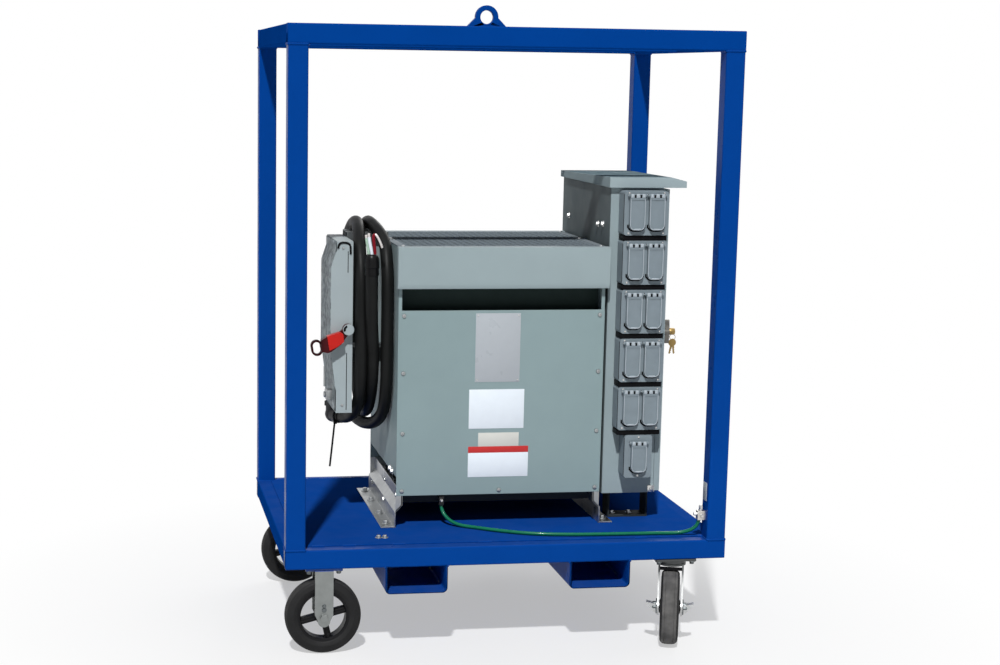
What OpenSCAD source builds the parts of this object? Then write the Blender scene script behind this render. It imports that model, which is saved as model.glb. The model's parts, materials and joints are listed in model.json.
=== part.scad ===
// Portable power distribution transformer on a wheeled lifting cage.
// Origin on the floor under the middle of the cage, +Z up, front towards -Y, in millimetres.

/* [Cage] */
// Outside width of the cage
frame_w = 1219.2; // [1000:1:1500]
// Outside depth of the cage
frame_d = 914.4; // [860:1:1100]
// Height of the top rails above the floor
frame_top = 1676.4; // [1500:1:1900]
// Side of the square tube
tube_w = 53; // [40:0.1:60]
// Corner radius of the square tube
tube_r = 5; // [2:0.5:8]
// Height of the base rails' underside above the floor
ride_h = 239.1; // [220:0.1:300]
// Thickness of the deck plate
deck_t = 3.2; // [2:0.1:6]
// Distance of the deck's edge from the outside of the cage
deck_inset = 40; // [10:1:50]

/* [Lifting lug and fork pockets] */
// Width of the lug at its foot
lug_w = 134; // [100:1:180]
// Thickness of the lug plate
lug_t = 19; // [12:0.5:30]
// Height of the lug's eye above the cage
lug_eye_h = 37; // [30:1:50]
// Diameter of the lug's eye
lug_eye_d = 38; // [20:0.5:44]
// Radius of the lug's round top
lug_r = 33; // [30:0.5:45]
// Distance from the middle of the cage to the middle of a fork pocket
pocket_x = 255; // [240:1:300]
// Outside width of a fork pocket
pocket_w = 171; // [140:1:200]
// Outside height of a fork pocket
pocket_h = 74; // [60:1:90]
// Wall of a fork pocket
pocket_t = 6.4; // [4:0.1:10]
// Outside radius of a fork pocket's bottom bends
pocket_r = 14; // [10:0.5:20]

/* [Casters] */
// Diameter of the wheels
wheel_d = 207; // [180:0.1:210]
// Width of the tread
wheel_w = 50.8; // [40:0.1:60]
// Distance of the rigid casters from the middle of the cage
rigid_x = 505; // [450:1:540]
// Distance of the front rigid wheel from the middle of the cage, front to back
rigid_y = 418; // [400:1:430]
// Distance of the rear rigid wheel from the middle of the cage, front to back
rigid_rear_y = 300; // [260:1:420]
// Distance of the swivel axes from the middle of the cage
swivel_x = 472; // [470:1:520]
// Distance of the swivel axes from the middle of the cage, front to back
swivel_y = 412; // [380:1:420]
// Distance from the swivel axis to the axle
swivel_lead = 40; // [30:1:42]
// Turn of the swivel casters at rest
swivel_rest = -18; // [-90:1:90]
// Diameter of the axles
axle_d = 20; // [14:0.5:24]

/* [Transformer] */
// Width of the case
case_w = 585; // [500:1:620]
// Depth of the case
case_d = 500; // [420:1:560]
// Height of the case's top above the deck
case_top = 790; // [700:1:900]
// Height of the case's underside above the deck
case_low = 100; // [75:1:130]
// Place of the case's middle across the cage
case_x = 12; // [-20:1:30]
// Place of the case's middle front to back
case_y = 3; // [-20:1:20]
// Sheet thickness of the case
sheet_t = 2; // [1.2:0.1:4]
// Height of the hoods over the vent slots
hood_h = 115; // [80:1:150]
// How far the hoods stand proud of the case
hood_out = 24; // [12:1:40]
// Height of the vent slots
slot_h = 62; // [30:1:90]

/* [Safety switch] */
// Width of the switch box, front to back
switch_w = 230; // [180:1:260]
// Depth of the switch box
switch_depth = 45; // [40:1:60]
// Height of the switch box
switch_h = 480; // [420:1:500]
// Height of the switch box's top above the deck
switch_top = 798; // [780:1:830]
// Place of the switch's front side, front to back
switch_front = -180; // [-190:1:-150]
// Depth of the formed cover at its middle
cover_out = 17; // [10:1:30]
// Length of the operating lever, from its hub to its end loop
lever_l = 101; // [95:1:125]
// Angle of the lever below level at rest
lever_dip = 30; // [20:1:40]

/* [Feed cable] */
// Diameter of the feed cable
cable_d = 35; // [28:0.5:36]
// Radius of the coil's round ends at the middle of the cable
coil_r = 185; // [170:1:200]
// Straight length of the coil's sides
coil_straight = 211; // [150:1:260]
// Distance between the coil's turns
coil_pitch = 36.5; // [36.5:0.1:38]
// Number of turns side by side
coil_turns = 3; // [2:1:3]

/* [Distribution panel] */
// Depth of the panel's box
panel_depth = 153; // [130:1:165]
// Width of the panel, front to back
panel_w = 530; // [480:1:560]
// Height of the panel
panel_h = 870; // [820:1:900]
// Place of the panel's front side, front to back
panel_front = -230; // [-240:1:-200]
// Height of the panel's underside above the deck
panel_low = 83; // [60:1:120]
// Gap between the transformer and the panel
panel_gap = 10; // [6:1:20]
// Thickness of the door
door_t = 17; // [12:1:25]
// How far the rain cap reaches over the door
cap_over = 44; // [30:1:60]

/* [Receptacles] */
// Width of the two-gang boxes
gang_w = 126; // [118:1:132]
// Height of the boxes
gang_h = 122; // [118:1:126]
// Width of the single-gang box
single_w = 80; // [70:1:90]
// Distance from one box to the next
gang_pitch = 137; // [134:0.1:138]
// How far the boxes stand out from the panel
gang_out = 52; // [40:1:60]

/* [Hidden] */
overrun = 1;
run_fit = 0.05;
seat_gap = 0.3;
lid_gap = 0.5;
fine = 48;

base_top = ride_h + tube_w;
deck_z = base_top + deck_t;
half_w = frame_w / 2;
half_d = frame_d / 2;
post_x = half_w - tube_w / 2;
post_y = half_d - tube_w / 2;
top_low = frame_top - tube_w;

// Casters
pad_t = 6.4;
rigid_pad = [100, 64];
swivel_pad = [114, 90];
leg_t = 5;
leg_w = 50;
leg_tip_r = 17;
leg_tip_drop = 9;
leg_taper = 8;
hub_w = 58;
hub_r = 22;
hub_gap = 1;
rim_r = 70;
rim_in_r = 62;
rim_w = 40;
shoulder_r = 9;
spoke_w = 18;
spoke_t = 24;
spoke_turn = 14;
spoke_count = 4;
nut_r = 12;
nut_t = 9;
race_r = 40;
race_h = 9;
king_r = 11;
king_nut_r = 17;
king_nut_t = 4;
crown_t = 6;
race_gap = 0.8;
axle_z = wheel_d / 2;
axle_r = axle_d / 2;
leg_gap = hub_w + 2 * hub_gap;
pad_z = ride_h - pad_t;
crown_top = pad_z - race_h - race_gap;
brake_l = 30;
brake_w = 22;
brake_t = 5;
brake_rise = 13;
brake_root = 14;

// Transformer
case_z0 = deck_z + case_low;
case_z1 = deck_z + case_top;
case_x0 = case_x - case_w / 2;
case_x1 = case_x + case_w / 2;
case_y0 = case_y - case_d / 2;
case_y1 = case_y + case_d / 2;
hood_z0 = case_z1 - hood_h;
panel_sheet_z1 = hood_z0 - slot_h;
side_rise = 45;
side_z0 = case_z0 + side_rise;
side_lap = 18;
slot_lap = 10;
sheet_lap = 8;
hood_lip = 12;
hood_fold = 16;
hood_fold_in = 5;
hood_top_w = 46;
hood_side = 6;
grille_t = 4;
grille_bar = 5;
grille_edge = 18;
grille_rows = 8;
grille_columns = 7;
foot_t = 4;
foot_out = 41;
foot_step_z = 45;
foot_rise_z = 65;
foot_in = 19;
foot_top_w = 34;
angle_w = 34;
angle_t = 4;
angle_y = 45;
core_d = 120;
core_leg = 74;
core_yoke = 74;
core_h = 530;
core_lift = 20;
core_z0 = case_z0 + core_lift;
core_side = 57.5;
core_w = case_w - 2 * core_side;
clamp_w = 40;
clamp_h = 64;
clamp_t = 6;
coil_wall = 38;
coil_clear = 1;
coil_corner = 20;

// Safety switch
wall_x = case_x0;
arm_w = 41.3;
arm_t = 2.7;
arm_lip = 9.5;
arm_y = 28;
lower_arm_drop = 330;
coil_gap = 4;
arm_slack = 2;
arm_l = coil_gap * 2 + coil_pitch * (coil_turns - 1) + cable_d + arm_slack;
switch_x1 = wall_x - arm_l;
switch_x0 = switch_x1 - switch_depth;
switch_z1 = deck_z + switch_top;
switch_z0 = switch_z1 - switch_h;
cover_t = 3;
cover_top_drop = 24;
cover_top_slope = 42;
cover_low_rise = 62;
cover_low_slope = 176;
cover_edge = 3;
boss_r = 15;
boss_t = 20;
boss_inset = 14;
lever_shaft_r = 8;
lever_shaft_l = 24;
lever_shank_shares = [[0, -0.1], [0.3, -0.06], [0.4, 0.2], [0.26, 0.2], [0, 0.1]];
lever_grip_shares = [
  [0.2, 0.03], [0.26, -0.05], [0.58, -0.14], [0.79, -0.14], [0.96, 0.13], [0.81, 0.26],
  [0.71, 0.28], [0.37, 0.24], [0.27, 0.19]
];
lever_loop_r = 16;
lever_loop_l = 13;
lever_loop_turn = -20;
lever_hole_r = 10;
lever_t = 12;
lever_grip_t = 22;
lever_sink = 2;
lever_drop = 243;
lever_z = switch_z1 - lever_drop;
lever_x = switch_x1 - boss_inset;
lever_y = switch_front - seat_gap;
gland_r = 22;
gland_nut_r = 26;
gland_nut_t = 14;
elbow_out = 2;

// Feed cable: the coil hangs on the arms, and a short lead runs from the gland into its first turn
cable_r = cable_d / 2;
coil_x1 = wall_x - coil_gap;
coil_x0 = coil_x1 - coil_pitch * (coil_turns - 1) - cable_d;
coil_lift = 653.2;
coil_top_c = deck_z + coil_lift;
coil_low_c = coil_top_c - coil_straight;
arm_z1 = coil_top_c + sqrt(pow(coil_r - cable_r, 2) - pow(arm_y + arm_w / 2, 2)) - seat_gap;
lead_route = [
  [-412, -15, 575], [-404.5, -34, 575], [-397, -55, 578], [-390.5, -78, 584],
  [-385, -100, 594], [-381, -120, 608], [-378, -138, 625]
];
gland_back = 36;
lead_dir = route_dir(lead_route, 0);
gland_at = lead_route[0] - gland_back * lead_dir;

// Distribution panel
panel_x0 = case_x1 + panel_gap;
panel_x1 = panel_x0 + panel_depth;
panel_y1 = panel_front + panel_w;
panel_z0 = deck_z + panel_low;
panel_z1 = panel_z0 + panel_h;
door_gap = 1;
door_x0 = panel_x1 + door_gap;
door_x1 = door_x0 + door_t;
door_edge = 3;
door_clear = 5;
cap_h = 29;
cap_end_h = 18;
cap_back_h = 19;
cap_side = 6;
cap_front = 15;
cap_flat_share = 0.8;
stand_w = 60;
stand_t = 5;
stand_in = 50;
stand_clear = 5;
stand_x0 = case_x1 + foot_out + stand_clear;
spacer_r = 14;
spacer_drop = 90;
spacer_in = 90;
hinge_r = 8;
hinge_pin_r = 4;
hinge_l = 90;
hinge_in = 120;
hinge_leaf = 26;
hinge_out = 2;
hinge_x = door_x1 + hinge_out;
hinge_y = panel_y1 + hinge_r + hinge_out;
dead_depth = 96;
breaker_w = 90;
breaker_h = 25;
breaker_out = 20;
breaker_gap = 2;
breaker_rows = 12;
breaker_column_gap = 14;
handle_in = 32;
handle_rise = 460;
handle_z = panel_z0 + handle_rise;
handle_r = 9;
handle_stem = 22;
grip_l = 68;
grip_w = 17;
grip_end_r = 4;
grip_t = 12;
latch_r = 18;
latch_t = 4;
latch_gap = 2;
lock_r = 9;
lock_l = 16;

// Receptacles
gang_rows = 5;
gang_shift = 3;
gang_x = panel_x0 + (panel_depth + door_gap + door_t) / 2 + gang_shift;
gang_drop = 7;
gang_top = panel_z1 - gang_drop;
plate_t = 4;
plate_y = panel_front - gang_out - plate_t;
gang_r = 8;
gang_wall = 4;
lid_w = 44;
lid_h = 96;
lid_t = 12;
lid_r = 20;
lid_x = 28;
lid_drop = 16;
lid_rim = 4;
lid_top_rim = 12;
lid_recess = 1.5;
single_drop = 10;
single_lid_h = 84;
outlet_r = 17;
outlet_fit = 0.5;
outlet_rim_r = 20.5;
outlet_rim_t = 3;
outlet_back = 26;
outlet_low = 50;
outlet_slot = [2, 8];
outlet_slot_x = 6;
outlet_pin_r = 2.5;
outlet_pin_drop = 8;
outlet_slot_deep = 8;
pin_r = 2;
barrel_r = 4.5;
ear_w = 4;
ear_gap = 0.5;
pin_out = 6;
pin_y = plate_y - pin_out;

// Ground wire between the transformer's base and the front right post
wire_d = 10;
wire_route = [
  [-145, -208, 350], [-143, -211, 338], [-136, -221, 323], [-120, -239, 309], [-95, -260, 302],
  [-60, -284, 301], [-10, -320, 301], [54, -357, 301], [120, -379, 301], [200, -391, 301],
  [280, -396, 301], [360, -398, 301], [430, -400, 301], [472, -403, 301], [500, -408, 304],
  [522, -416, 312], [536, -424, 326], [541, -430, 344]
];
lug_block = [14, 18, 26];
base_lug_l = 13;
post_lug_l = 22.6;
wire_sides = 8;
cable_sides = 12;

function route_dir(p, i) =
  let (a = p[max(i - 1, 0)], b = p[min(i + 1, len(p) - 1)]) (b - a) / norm(b - a);

// Round square outline
module round_square(size, r) {
  union() {
    square([size.x - 2 * r, size.y], center = true);
    square([size.x, size.y - 2 * r], center = true);
    for (sx = [-1, 1], sy = [-1, 1])
      translate([sx * (size.x / 2 - r), sy * (size.y / 2 - r)]) circle(r = r, $fn = fine);
  }
}

// Square tube along X, Y or Z, closed at its ends, centred on its own middle
module tube_outline() { round_square([tube_w, tube_w], tube_r); }
module tube_x(l) { rotate([0, 90, 0]) linear_extrude(l, center = true) tube_outline(); }
module tube_y(l) { rotate([90, 0, 0]) linear_extrude(l, center = true) tube_outline(); }
module tube_z(l) { linear_extrude(l) tube_outline(); }

// A closed tube along a list of points
module swept_tube(p, r, sides) {
  rings = [
    for (i = [0 : len(p) - 1])
      let (t = route_dir(p, i), n = cross([0, 0, 1], t), a = n / norm(n), b = cross(t, a))
        for (k = [0 : sides - 1]) p[i] + r * (a * cos(360 * k / sides) + b * sin(360 * k / sides))
  ];
  last = (len(p) - 1) * sides;
  polyhedron(
    points = rings,
    faces = concat(
      [[for (k = [0 : sides - 1]) k]],
      [[for (k = [sides - 1 : -1 : 0]) last + k]],
      [
        for (i = [0 : len(p) - 2], k = [0 : sides - 1])
          let (a = i * sides, n = (k + 1) % sides) [a + k, a + sides + k, a + sides + n, a + n]
      ]
    )
  );
}

// Cage
module base_long_rails() {
  color("royalblue")
    for (s = [-1, 1]) translate([0, s * post_y, ride_h + tube_w / 2]) tube_x(frame_w);
}

module base_cross_rails() {
  color("royalblue")
    for (x = [-post_x, -rigid_x, swivel_x, post_x])
      translate([x, 0, ride_h + tube_w / 2]) tube_y(frame_d - 2 * tube_w);
}

module deck_plate() {
  deck = [frame_w - 2 * deck_inset, frame_d - 2 * deck_inset, deck_t];
  notch = tube_w - deck_inset + overrun;
  color("royalblue")
    difference() {
      translate([-deck.x / 2, -deck.y / 2, base_top]) cube(deck);
      for (sx = [-1, 1], sy = [-1, 1])
        translate([sx * deck.x / 2, sy * deck.y / 2, base_top + deck_t / 2])
          cube([2 * notch, 2 * notch, deck_t + 2 * overrun], center = true);
    }
}

module corner_posts() {
  color("royalblue")
    for (sx = [-1, 1], sy = [-1, 1])
      translate([sx * post_x, sy * post_y, base_top]) tube_z(top_low - base_top);
}

module top_long_rails() {
  color("royalblue")
    for (s = [-1, 1]) translate([0, s * post_y, frame_top - tube_w / 2]) tube_x(frame_w);
}

module top_side_rails() {
  color("royalblue")
    for (s = [-1, 1])
      translate([s * post_x, 0, frame_top - tube_w / 2]) tube_y(frame_d - 2 * tube_w);
}

module lift_beam() {
  color("royalblue") translate([0, 0, frame_top - tube_w / 2]) tube_x(frame_w - 2 * tube_w);
}

module lifting_lug() {
  reach = lug_eye_h;
  lean = acos(lug_r / norm([lug_w / 2, reach])) + atan2(reach, lug_w / 2);
  tip = [lug_r * cos(90 - lean + 90), lug_r * sin(90 - lean + 90)];
  color("royalblue")
    translate([0, 0, frame_top]) rotate([90, 0, 0])
      linear_extrude(lug_t, center = true)
        difference() {
          union() {
            translate([0, reach]) circle(r = lug_r, $fn = fine);
            polygon([
              [-lug_w / 2, 0], [lug_w / 2, 0],
              [-tip.x, reach + tip.y], [tip.x, reach + tip.y]
            ]);
          }
          translate([0, reach]) circle(d = lug_eye_d, $fn = fine);
          translate([-lug_w, -lug_r]) square([2 * lug_w, lug_r]);
        }
}

module pocket_outline(w, h, r) {
  union() {
    translate([-w / 2, -h + r]) square([w, h - r]);
    translate([-w / 2 + r, -h]) square([w - 2 * r, r]);
    for (s = [-1, 1]) translate([s * (w / 2 - r), -h + r]) circle(r = r, $fn = fine);
  }
}

module fork_pockets() {
  color("royalblue")
    for (s = [-1, 1])
      translate([s * pocket_x, 0, ride_h]) rotate([90, 0, 0])
        linear_extrude(frame_d, center = true)
          difference() {
            pocket_outline(pocket_w, pocket_h, pocket_r);
            translate([0, overrun])
              pocket_outline(
                pocket_w - 2 * pocket_t, pocket_h - pocket_t + overrun, pocket_r - pocket_t
              );
          }
}

// Casters
module wheel() {
  union() {
    rotate_extrude($fn = 2 * fine)
      union() {
        translate([rim_in_r, -rim_w / 2]) square([axle_z - rim_in_r - shoulder_r, rim_w]);
        translate([rim_r, -wheel_w / 2 + shoulder_r])
          square([axle_z - rim_r, wheel_w - 2 * shoulder_r]);
        translate([rim_r, -wheel_w / 2]) square([axle_z - rim_r - shoulder_r, wheel_w]);
        for (s = [-1, 1])
          translate([axle_z - shoulder_r, s * (wheel_w / 2 - shoulder_r)])
            circle(r = shoulder_r, $fn = fine);
      }
    difference() {
      union() {
        cylinder(h = hub_w, r = hub_r, center = true, $fn = fine);
        for (k = [0 : spoke_count - 1])
          rotate(spoke_turn + k * 360 / spoke_count)
            translate([0, -spoke_w / 2, -spoke_t / 2]) cube([rim_r, spoke_w, spoke_t]);
      }
      cylinder(h = hub_w + 2 * overrun, r = axle_r + run_fit, center = true, $fn = fine);
    }
  }
}

// Axle bolt with its head and nut, along Z about its middle
module axle(l) {
  cylinder(h = l, r = axle_r, center = true, $fn = fine);
  for (s = [-1, 1])
    translate([0, 0, s * (l / 2 + nut_t / 2)]) cylinder(h = nut_t, r = nut_r, center = true, $fn = 6);
}

module rigid_fork() {
  leg_h = pad_z - axle_z;
  union() {
    translate([-rigid_pad.x / 2, -rigid_pad.y / 2, pad_z]) cube([rigid_pad.x, rigid_pad.y, pad_t]);
    for (s = [-1, 1])
      translate([0, s * (leg_gap + leg_t) / 2, axle_z]) rotate([90, 0, 0])
        linear_extrude(leg_t, center = true)
          union() {
            translate([0, -leg_tip_drop]) circle(r = leg_tip_r, $fn = fine);
            polygon([
              [-leg_tip_r, -leg_tip_drop], [leg_tip_r, -leg_tip_drop], [leg_w / 2, leg_taper],
              [leg_w / 2, leg_h + overrun], [-leg_w / 2, leg_h + overrun], [-leg_w / 2, leg_taper]
            ]);
          }
    translate([0, 0, axle_z]) rotate([90, 0, 0]) axle(leg_gap + 2 * leg_t);
  }
}

module rigid_caster_forks() {
  color("silver")
    for (y = [-rigid_y, rigid_rear_y]) translate([-rigid_x, y, 0]) rigid_fork();
}

module rigid_wheel(y) {
  color("dimgray") translate([-rigid_x, y, axle_z]) rotate([90, 0, 0]) wheel();
}

module rigid_wheel_front() { rigid_wheel(-rigid_y); }
module rigid_wheel_rear() { rigid_wheel(rigid_rear_y); }

module swivel_plates() {
  color("silver")
    for (s = [-1, 1])
      translate([swivel_x, s * swivel_y, 0])
        union() {
          translate([-swivel_pad.x / 2, -swivel_pad.y / 2, pad_z])
            cube([swivel_pad.x, swivel_pad.y, pad_t]);
          translate([0, 0, pad_z - race_h]) cylinder(h = race_h + overrun, r = race_r, $fn = fine);
          translate([0, 0, crown_top - crown_t - race_gap])
            cylinder(h = race_h + crown_t, r = king_r, $fn = fine);
          translate([0, 0, crown_top - crown_t - race_gap - king_nut_t])
            cylinder(h = king_nut_t, r = king_nut_r, $fn = 6);
        }
}

// Fork of a swivel caster about its own swivel axis, with the axle towards -Y along X
module swivel_fork() {
  leg_mid = (leg_gap + leg_t) / 2;
  union() {
    difference() {
      union() {
        translate([0, 0, crown_top - crown_t]) cylinder(h = crown_t, r = race_r, $fn = fine);
        translate([-leg_mid - leg_t / 2, -leg_w / 2, crown_top - crown_t])
          cube([2 * leg_mid + leg_t, leg_w, crown_t]);
      }
      translate([0, 0, crown_top - crown_t - overrun])
        cylinder(h = crown_t + 2 * overrun, r = king_r + run_fit, $fn = fine);
    }
    for (s = [-1, 1])
      translate([s * leg_mid, 0, 0]) rotate([90, 0, 90])
        linear_extrude(leg_t, center = true)
          union() {
            translate([-swivel_lead, axle_z]) circle(d = leg_w, $fn = fine);
            polygon([
              [-leg_w / 2, crown_top], [leg_w / 2, crown_top], [leg_w / 2, crown_top - crown_t],
              [-swivel_lead + leg_w / 2, axle_z], [-swivel_lead - leg_w / 2, axle_z]
            ]);
          }
    translate([0, -swivel_lead, axle_z]) rotate([0, 90, 0]) axle(leg_gap + 2 * leg_t);
    for (s = [-1, 1])
      translate([s * (leg_gap / 2 + leg_t), -swivel_lead, axle_z]) brake_pedal(s);
  }
}

// Bent pedal that locks the wheel, beside the axle
module brake_pedal(s) {
  rotate([90, 0, 0])
    linear_extrude(brake_w, center = true)
      polygon([
        [0, -brake_root], [s * nut_t, -brake_root], [s * brake_l, brake_rise - brake_t],
        [s * brake_l, brake_rise], [s * nut_t, brake_root - brake_t], [0, brake_root - brake_t]
      ]);
}

// Puts a caster's piece under its plate, turned as it stands at rest
module at_swivel(s) {
  translate([swivel_x, s * swivel_y, 0]) rotate(s > 0 ? 180 + swivel_rest : swivel_rest) children();
}

module swivel_fork_front() { color("silver") at_swivel(-1) swivel_fork(); }
module swivel_fork_rear() { color("silver") at_swivel(1) swivel_fork(); }

module swivel_wheel(s) {
  color("dimgray") at_swivel(s) translate([0, -swivel_lead, axle_z]) rotate([0, 90, 0]) wheel();
}

module swivel_wheel_front() { swivel_wheel(-1); }
module swivel_wheel_rear() { swivel_wheel(1); }

// Transformer
module foot_outline() {
  x1 = foot_out;
  x2 = foot_out + foot_in;
  polygon([
    [0, 0], [x1, 0], [x1, foot_step_z], [x2, foot_rise_z], [x2, case_low - foot_t],
    [x2 + foot_top_w, case_low - foot_t], [x2 + foot_top_w, case_low],
    [x2 - foot_t, case_low], [x2 - foot_t, foot_rise_z + foot_t / 2],
    [x1 - foot_t, foot_step_z + foot_t / 2], [x1 - foot_t, foot_t], [0, foot_t]
  ]);
}

module case_feet() {
  color("lightgray")
    translate([case_x, case_y, deck_z])
      for (s = [-1, 1])
        mirror([s > 0 ? 1 : 0, 0, 0])
          translate([-case_w / 2 - foot_out, 0, 0]) rotate([90, 0, 0])
            linear_extrude(case_d - 2 * sheet_t, center = true) foot_outline();
}

// Angle bars between the feet, under their top flanges
module case_base_angles() {
  color("lightgray")
    for (s = [-1, 1])
      translate([case_x, case_y + s * (case_d / 2 - angle_y), case_z0 - foot_t]) rotate([90, 0, 90])
        linear_extrude(case_w - 2 * foot_in, center = true)
          polygon([
            [0, 0], [0, -angle_w], [-s * angle_t, -angle_w], [-s * angle_t, -angle_t],
            [-s * angle_w, -angle_t], [-s * angle_w, 0]
          ]);
}

module core() {
  window_w = (core_w - 3 * core_leg) / 2;
  color("dimgray")
    translate([case_x, case_y, core_z0]) rotate([90, 0, 0])
      linear_extrude(core_d, center = true)
        difference() {
          translate([-core_w / 2, 0]) square([core_w, core_h]);
          for (s = [-1, 1])
            translate([s * (core_leg + window_w) / 2 - window_w / 2, core_yoke])
              square([window_w, core_h - 2 * core_yoke]);
        }
}

module core_clamps() {
  clamp_l = case_w - 2 * foot_in;
  color("slategray")
    for (s = [-1, 1], top = [0, 1])
      translate([case_x, case_y + s * core_d / 2, top == 0 ? case_z0 : core_z0 + core_h - clamp_h])
        rotate([90, 0, 90])
          linear_extrude(top == 0 ? clamp_l : core_w, center = true)
            polygon([
              [0, 0], [s * clamp_w, 0], [s * clamp_w, clamp_t], [s * clamp_t, clamp_t],
              [s * clamp_t, clamp_h - clamp_t], [s * clamp_w, clamp_h - clamp_t],
              [s * clamp_w, clamp_h], [0, clamp_h]
            ]);
}

module core_coils() {
  window_w = (core_w - 3 * core_leg) / 2;
  inner = [core_leg + 2 * coil_clear, core_d + 2 * coil_clear];
  outer = [inner.x + 2 * coil_wall, inner.y + 2 * coil_wall];
  coil_h = core_h - 2 * core_yoke - 2 * seat_gap;
  color("saddlebrown")
    for (k = [-1, 0, 1])
      translate([case_x + k * (core_leg + window_w), case_y, core_z0 + core_yoke + seat_gap])
        linear_extrude(coil_h)
          difference() {
            round_square(outer, coil_corner);
            square(inner, center = true);
          }
}

module case_side_walls() {
  wall_h = case_z1 - grille_t - side_z0;
  wall_d = case_d - 2 * sheet_t;
  color("lightslategray")
    for (s = [-1, 1])
      translate([case_x, case_y, side_z0])
        mirror([s > 0 ? 1 : 0, 0, 0])
          translate([-case_w / 2, 0, 0])
            union() {
              translate([0, -wall_d / 2, 0]) cube([sheet_t, wall_d, wall_h]);
              for (t = [-1, 1])
                translate([0, t * (wall_d - sheet_t) / 2 - sheet_t / 2, 0])
                  union() {
                    cube([side_lap, sheet_t, panel_sheet_z1 - side_z0]);
                    cube([slot_lap, sheet_t, wall_h]);
                  }
            }
}

module case_sheet(y) {
  color("lightslategray")
    translate([case_x0, y, case_z0 - sheet_lap])
      cube([case_w, sheet_t, panel_sheet_z1 - case_z0 + sheet_lap]);
}

module case_front_panel() { case_sheet(case_y0); }
module case_back_panel() { case_sheet(case_y1 - sheet_t); }

// Bent hood over a vent slot, with closed cheeks, hung on the case's flanges
module vent_hood() {
  cheek_d = hood_out + sheet_t;
  hood_w = case_w + 2 * hood_side;
  union() {
    rotate([90, 0, 90])
      linear_extrude(hood_w, center = true)
        polygon([
          [0, hood_h], [-cheek_d, hood_h], [-cheek_d, hood_fold], [-cheek_d + hood_fold_in, 0],
          [-cheek_d + hood_lip, 0], [-cheek_d + hood_lip, sheet_t],
          [-cheek_d + hood_fold_in + sheet_t, sheet_t], [-cheek_d + sheet_t, hood_fold],
          [-cheek_d + sheet_t, hood_h - sheet_t], [0, hood_h - sheet_t]
        ]);
    for (s = [-1, 1])
      translate([s * (hood_w - sheet_t) / 2, 0, 0]) rotate([90, 0, 90])
        linear_extrude(sheet_t, center = true)
          polygon([
            [0, 0], [0, hood_h], [-cheek_d, hood_h], [-cheek_d, hood_fold], [-cheek_d + hood_fold_in, 0]
          ]);
    translate([-case_w / 2, -sheet_t, hood_h - hood_top_w]) cube([case_w, sheet_t, hood_top_w]);
  }
}

module vent_hoods() {
  color("lightslategray") {
    translate([case_x, case_y0 + sheet_t, hood_z0]) vent_hood();
    translate([case_x, case_y1 - sheet_t, hood_z0]) rotate(180) vent_hood();
  }
}

// Expanded metal: a sheet with staggered diamond openings
module top_grille() {
  grille = [case_w, case_d - 2 * sheet_t];
  cell = [(grille.x - 2 * grille_edge) / grille_columns, (grille.y - 2 * grille_edge) / grille_rows];
  half = [cell.x / 2 - grille_bar, cell.y / 2 - grille_bar * cell.y / cell.x];
  color("gray")
    translate([case_x, case_y, case_z1 - grille_t])
      linear_extrude(grille_t)
        difference() {
          square(grille, center = true);
          for (odd = [0, 1], i = [0 : grille_columns - 1 - odd], k = [0 : grille_rows - 1 - odd])
            translate([
              (i + (1 + odd) / 2 - grille_columns / 2) * cell.x,
              (k + (1 + odd) / 2 - grille_rows / 2) * cell.y
            ])
              polygon([[-half.x, 0], [0, -half.y], [half.x, 0], [0, half.y]]);
        }
}

// Safety switch
module strut_outline() {
  difference() {
    square([arm_w, arm_w], center = true);
    square([arm_w - 2 * arm_t, arm_w - 2 * arm_t], center = true);
    translate([0, -arm_w / 2]) square([arm_w - 2 * arm_lip, arm_w / 2], center = true);
  }
}

module switch_arms() {
  color("silver")
    for (s = [-1, 1], drop = [0, lower_arm_drop])
      translate([switch_x1, s * arm_y, arm_z1 - arm_w / 2 - drop]) rotate([90, 0, 90])
        linear_extrude(arm_l) strut_outline();
}

module switch_box() {
  color("lightgray")
    difference() {
      translate([switch_x0, switch_front, switch_z0]) cube([switch_depth, switch_w, switch_h]);
      translate([lever_x, switch_front - overrun, lever_z]) rotate([-90, 0, 0])
        cylinder(h = lever_shaft_l + 2 * overrun, r = lever_shaft_r + run_fit, $fn = fine);
    }
}

module switch_cover() {
  h = switch_h - 2 * cover_edge;
  color("gray")
    translate([switch_x0, switch_front + switch_w / 2, switch_z0 + cover_edge]) rotate([90, 0, 0])
      linear_extrude(switch_w - 2 * cover_edge, center = true)
        polygon([
          [0, 0], [-cover_t, 0], [-cover_t, cover_low_rise], [-cover_out, cover_low_slope],
          [-cover_out, h - cover_top_slope - cover_top_drop], [-cover_t, h - cover_top_drop],
          [-cover_t, h], [0, h]
        ]);
}

// Two round ends of one radius, joined over the length between them along Y
module loop_outline(r, l) {
  union() {
    for (t = [-1, 1]) translate([0, t * l / 2]) circle(r = r, $fn = fine);
    square([2 * r, l], center = true);
  }
}

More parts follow.
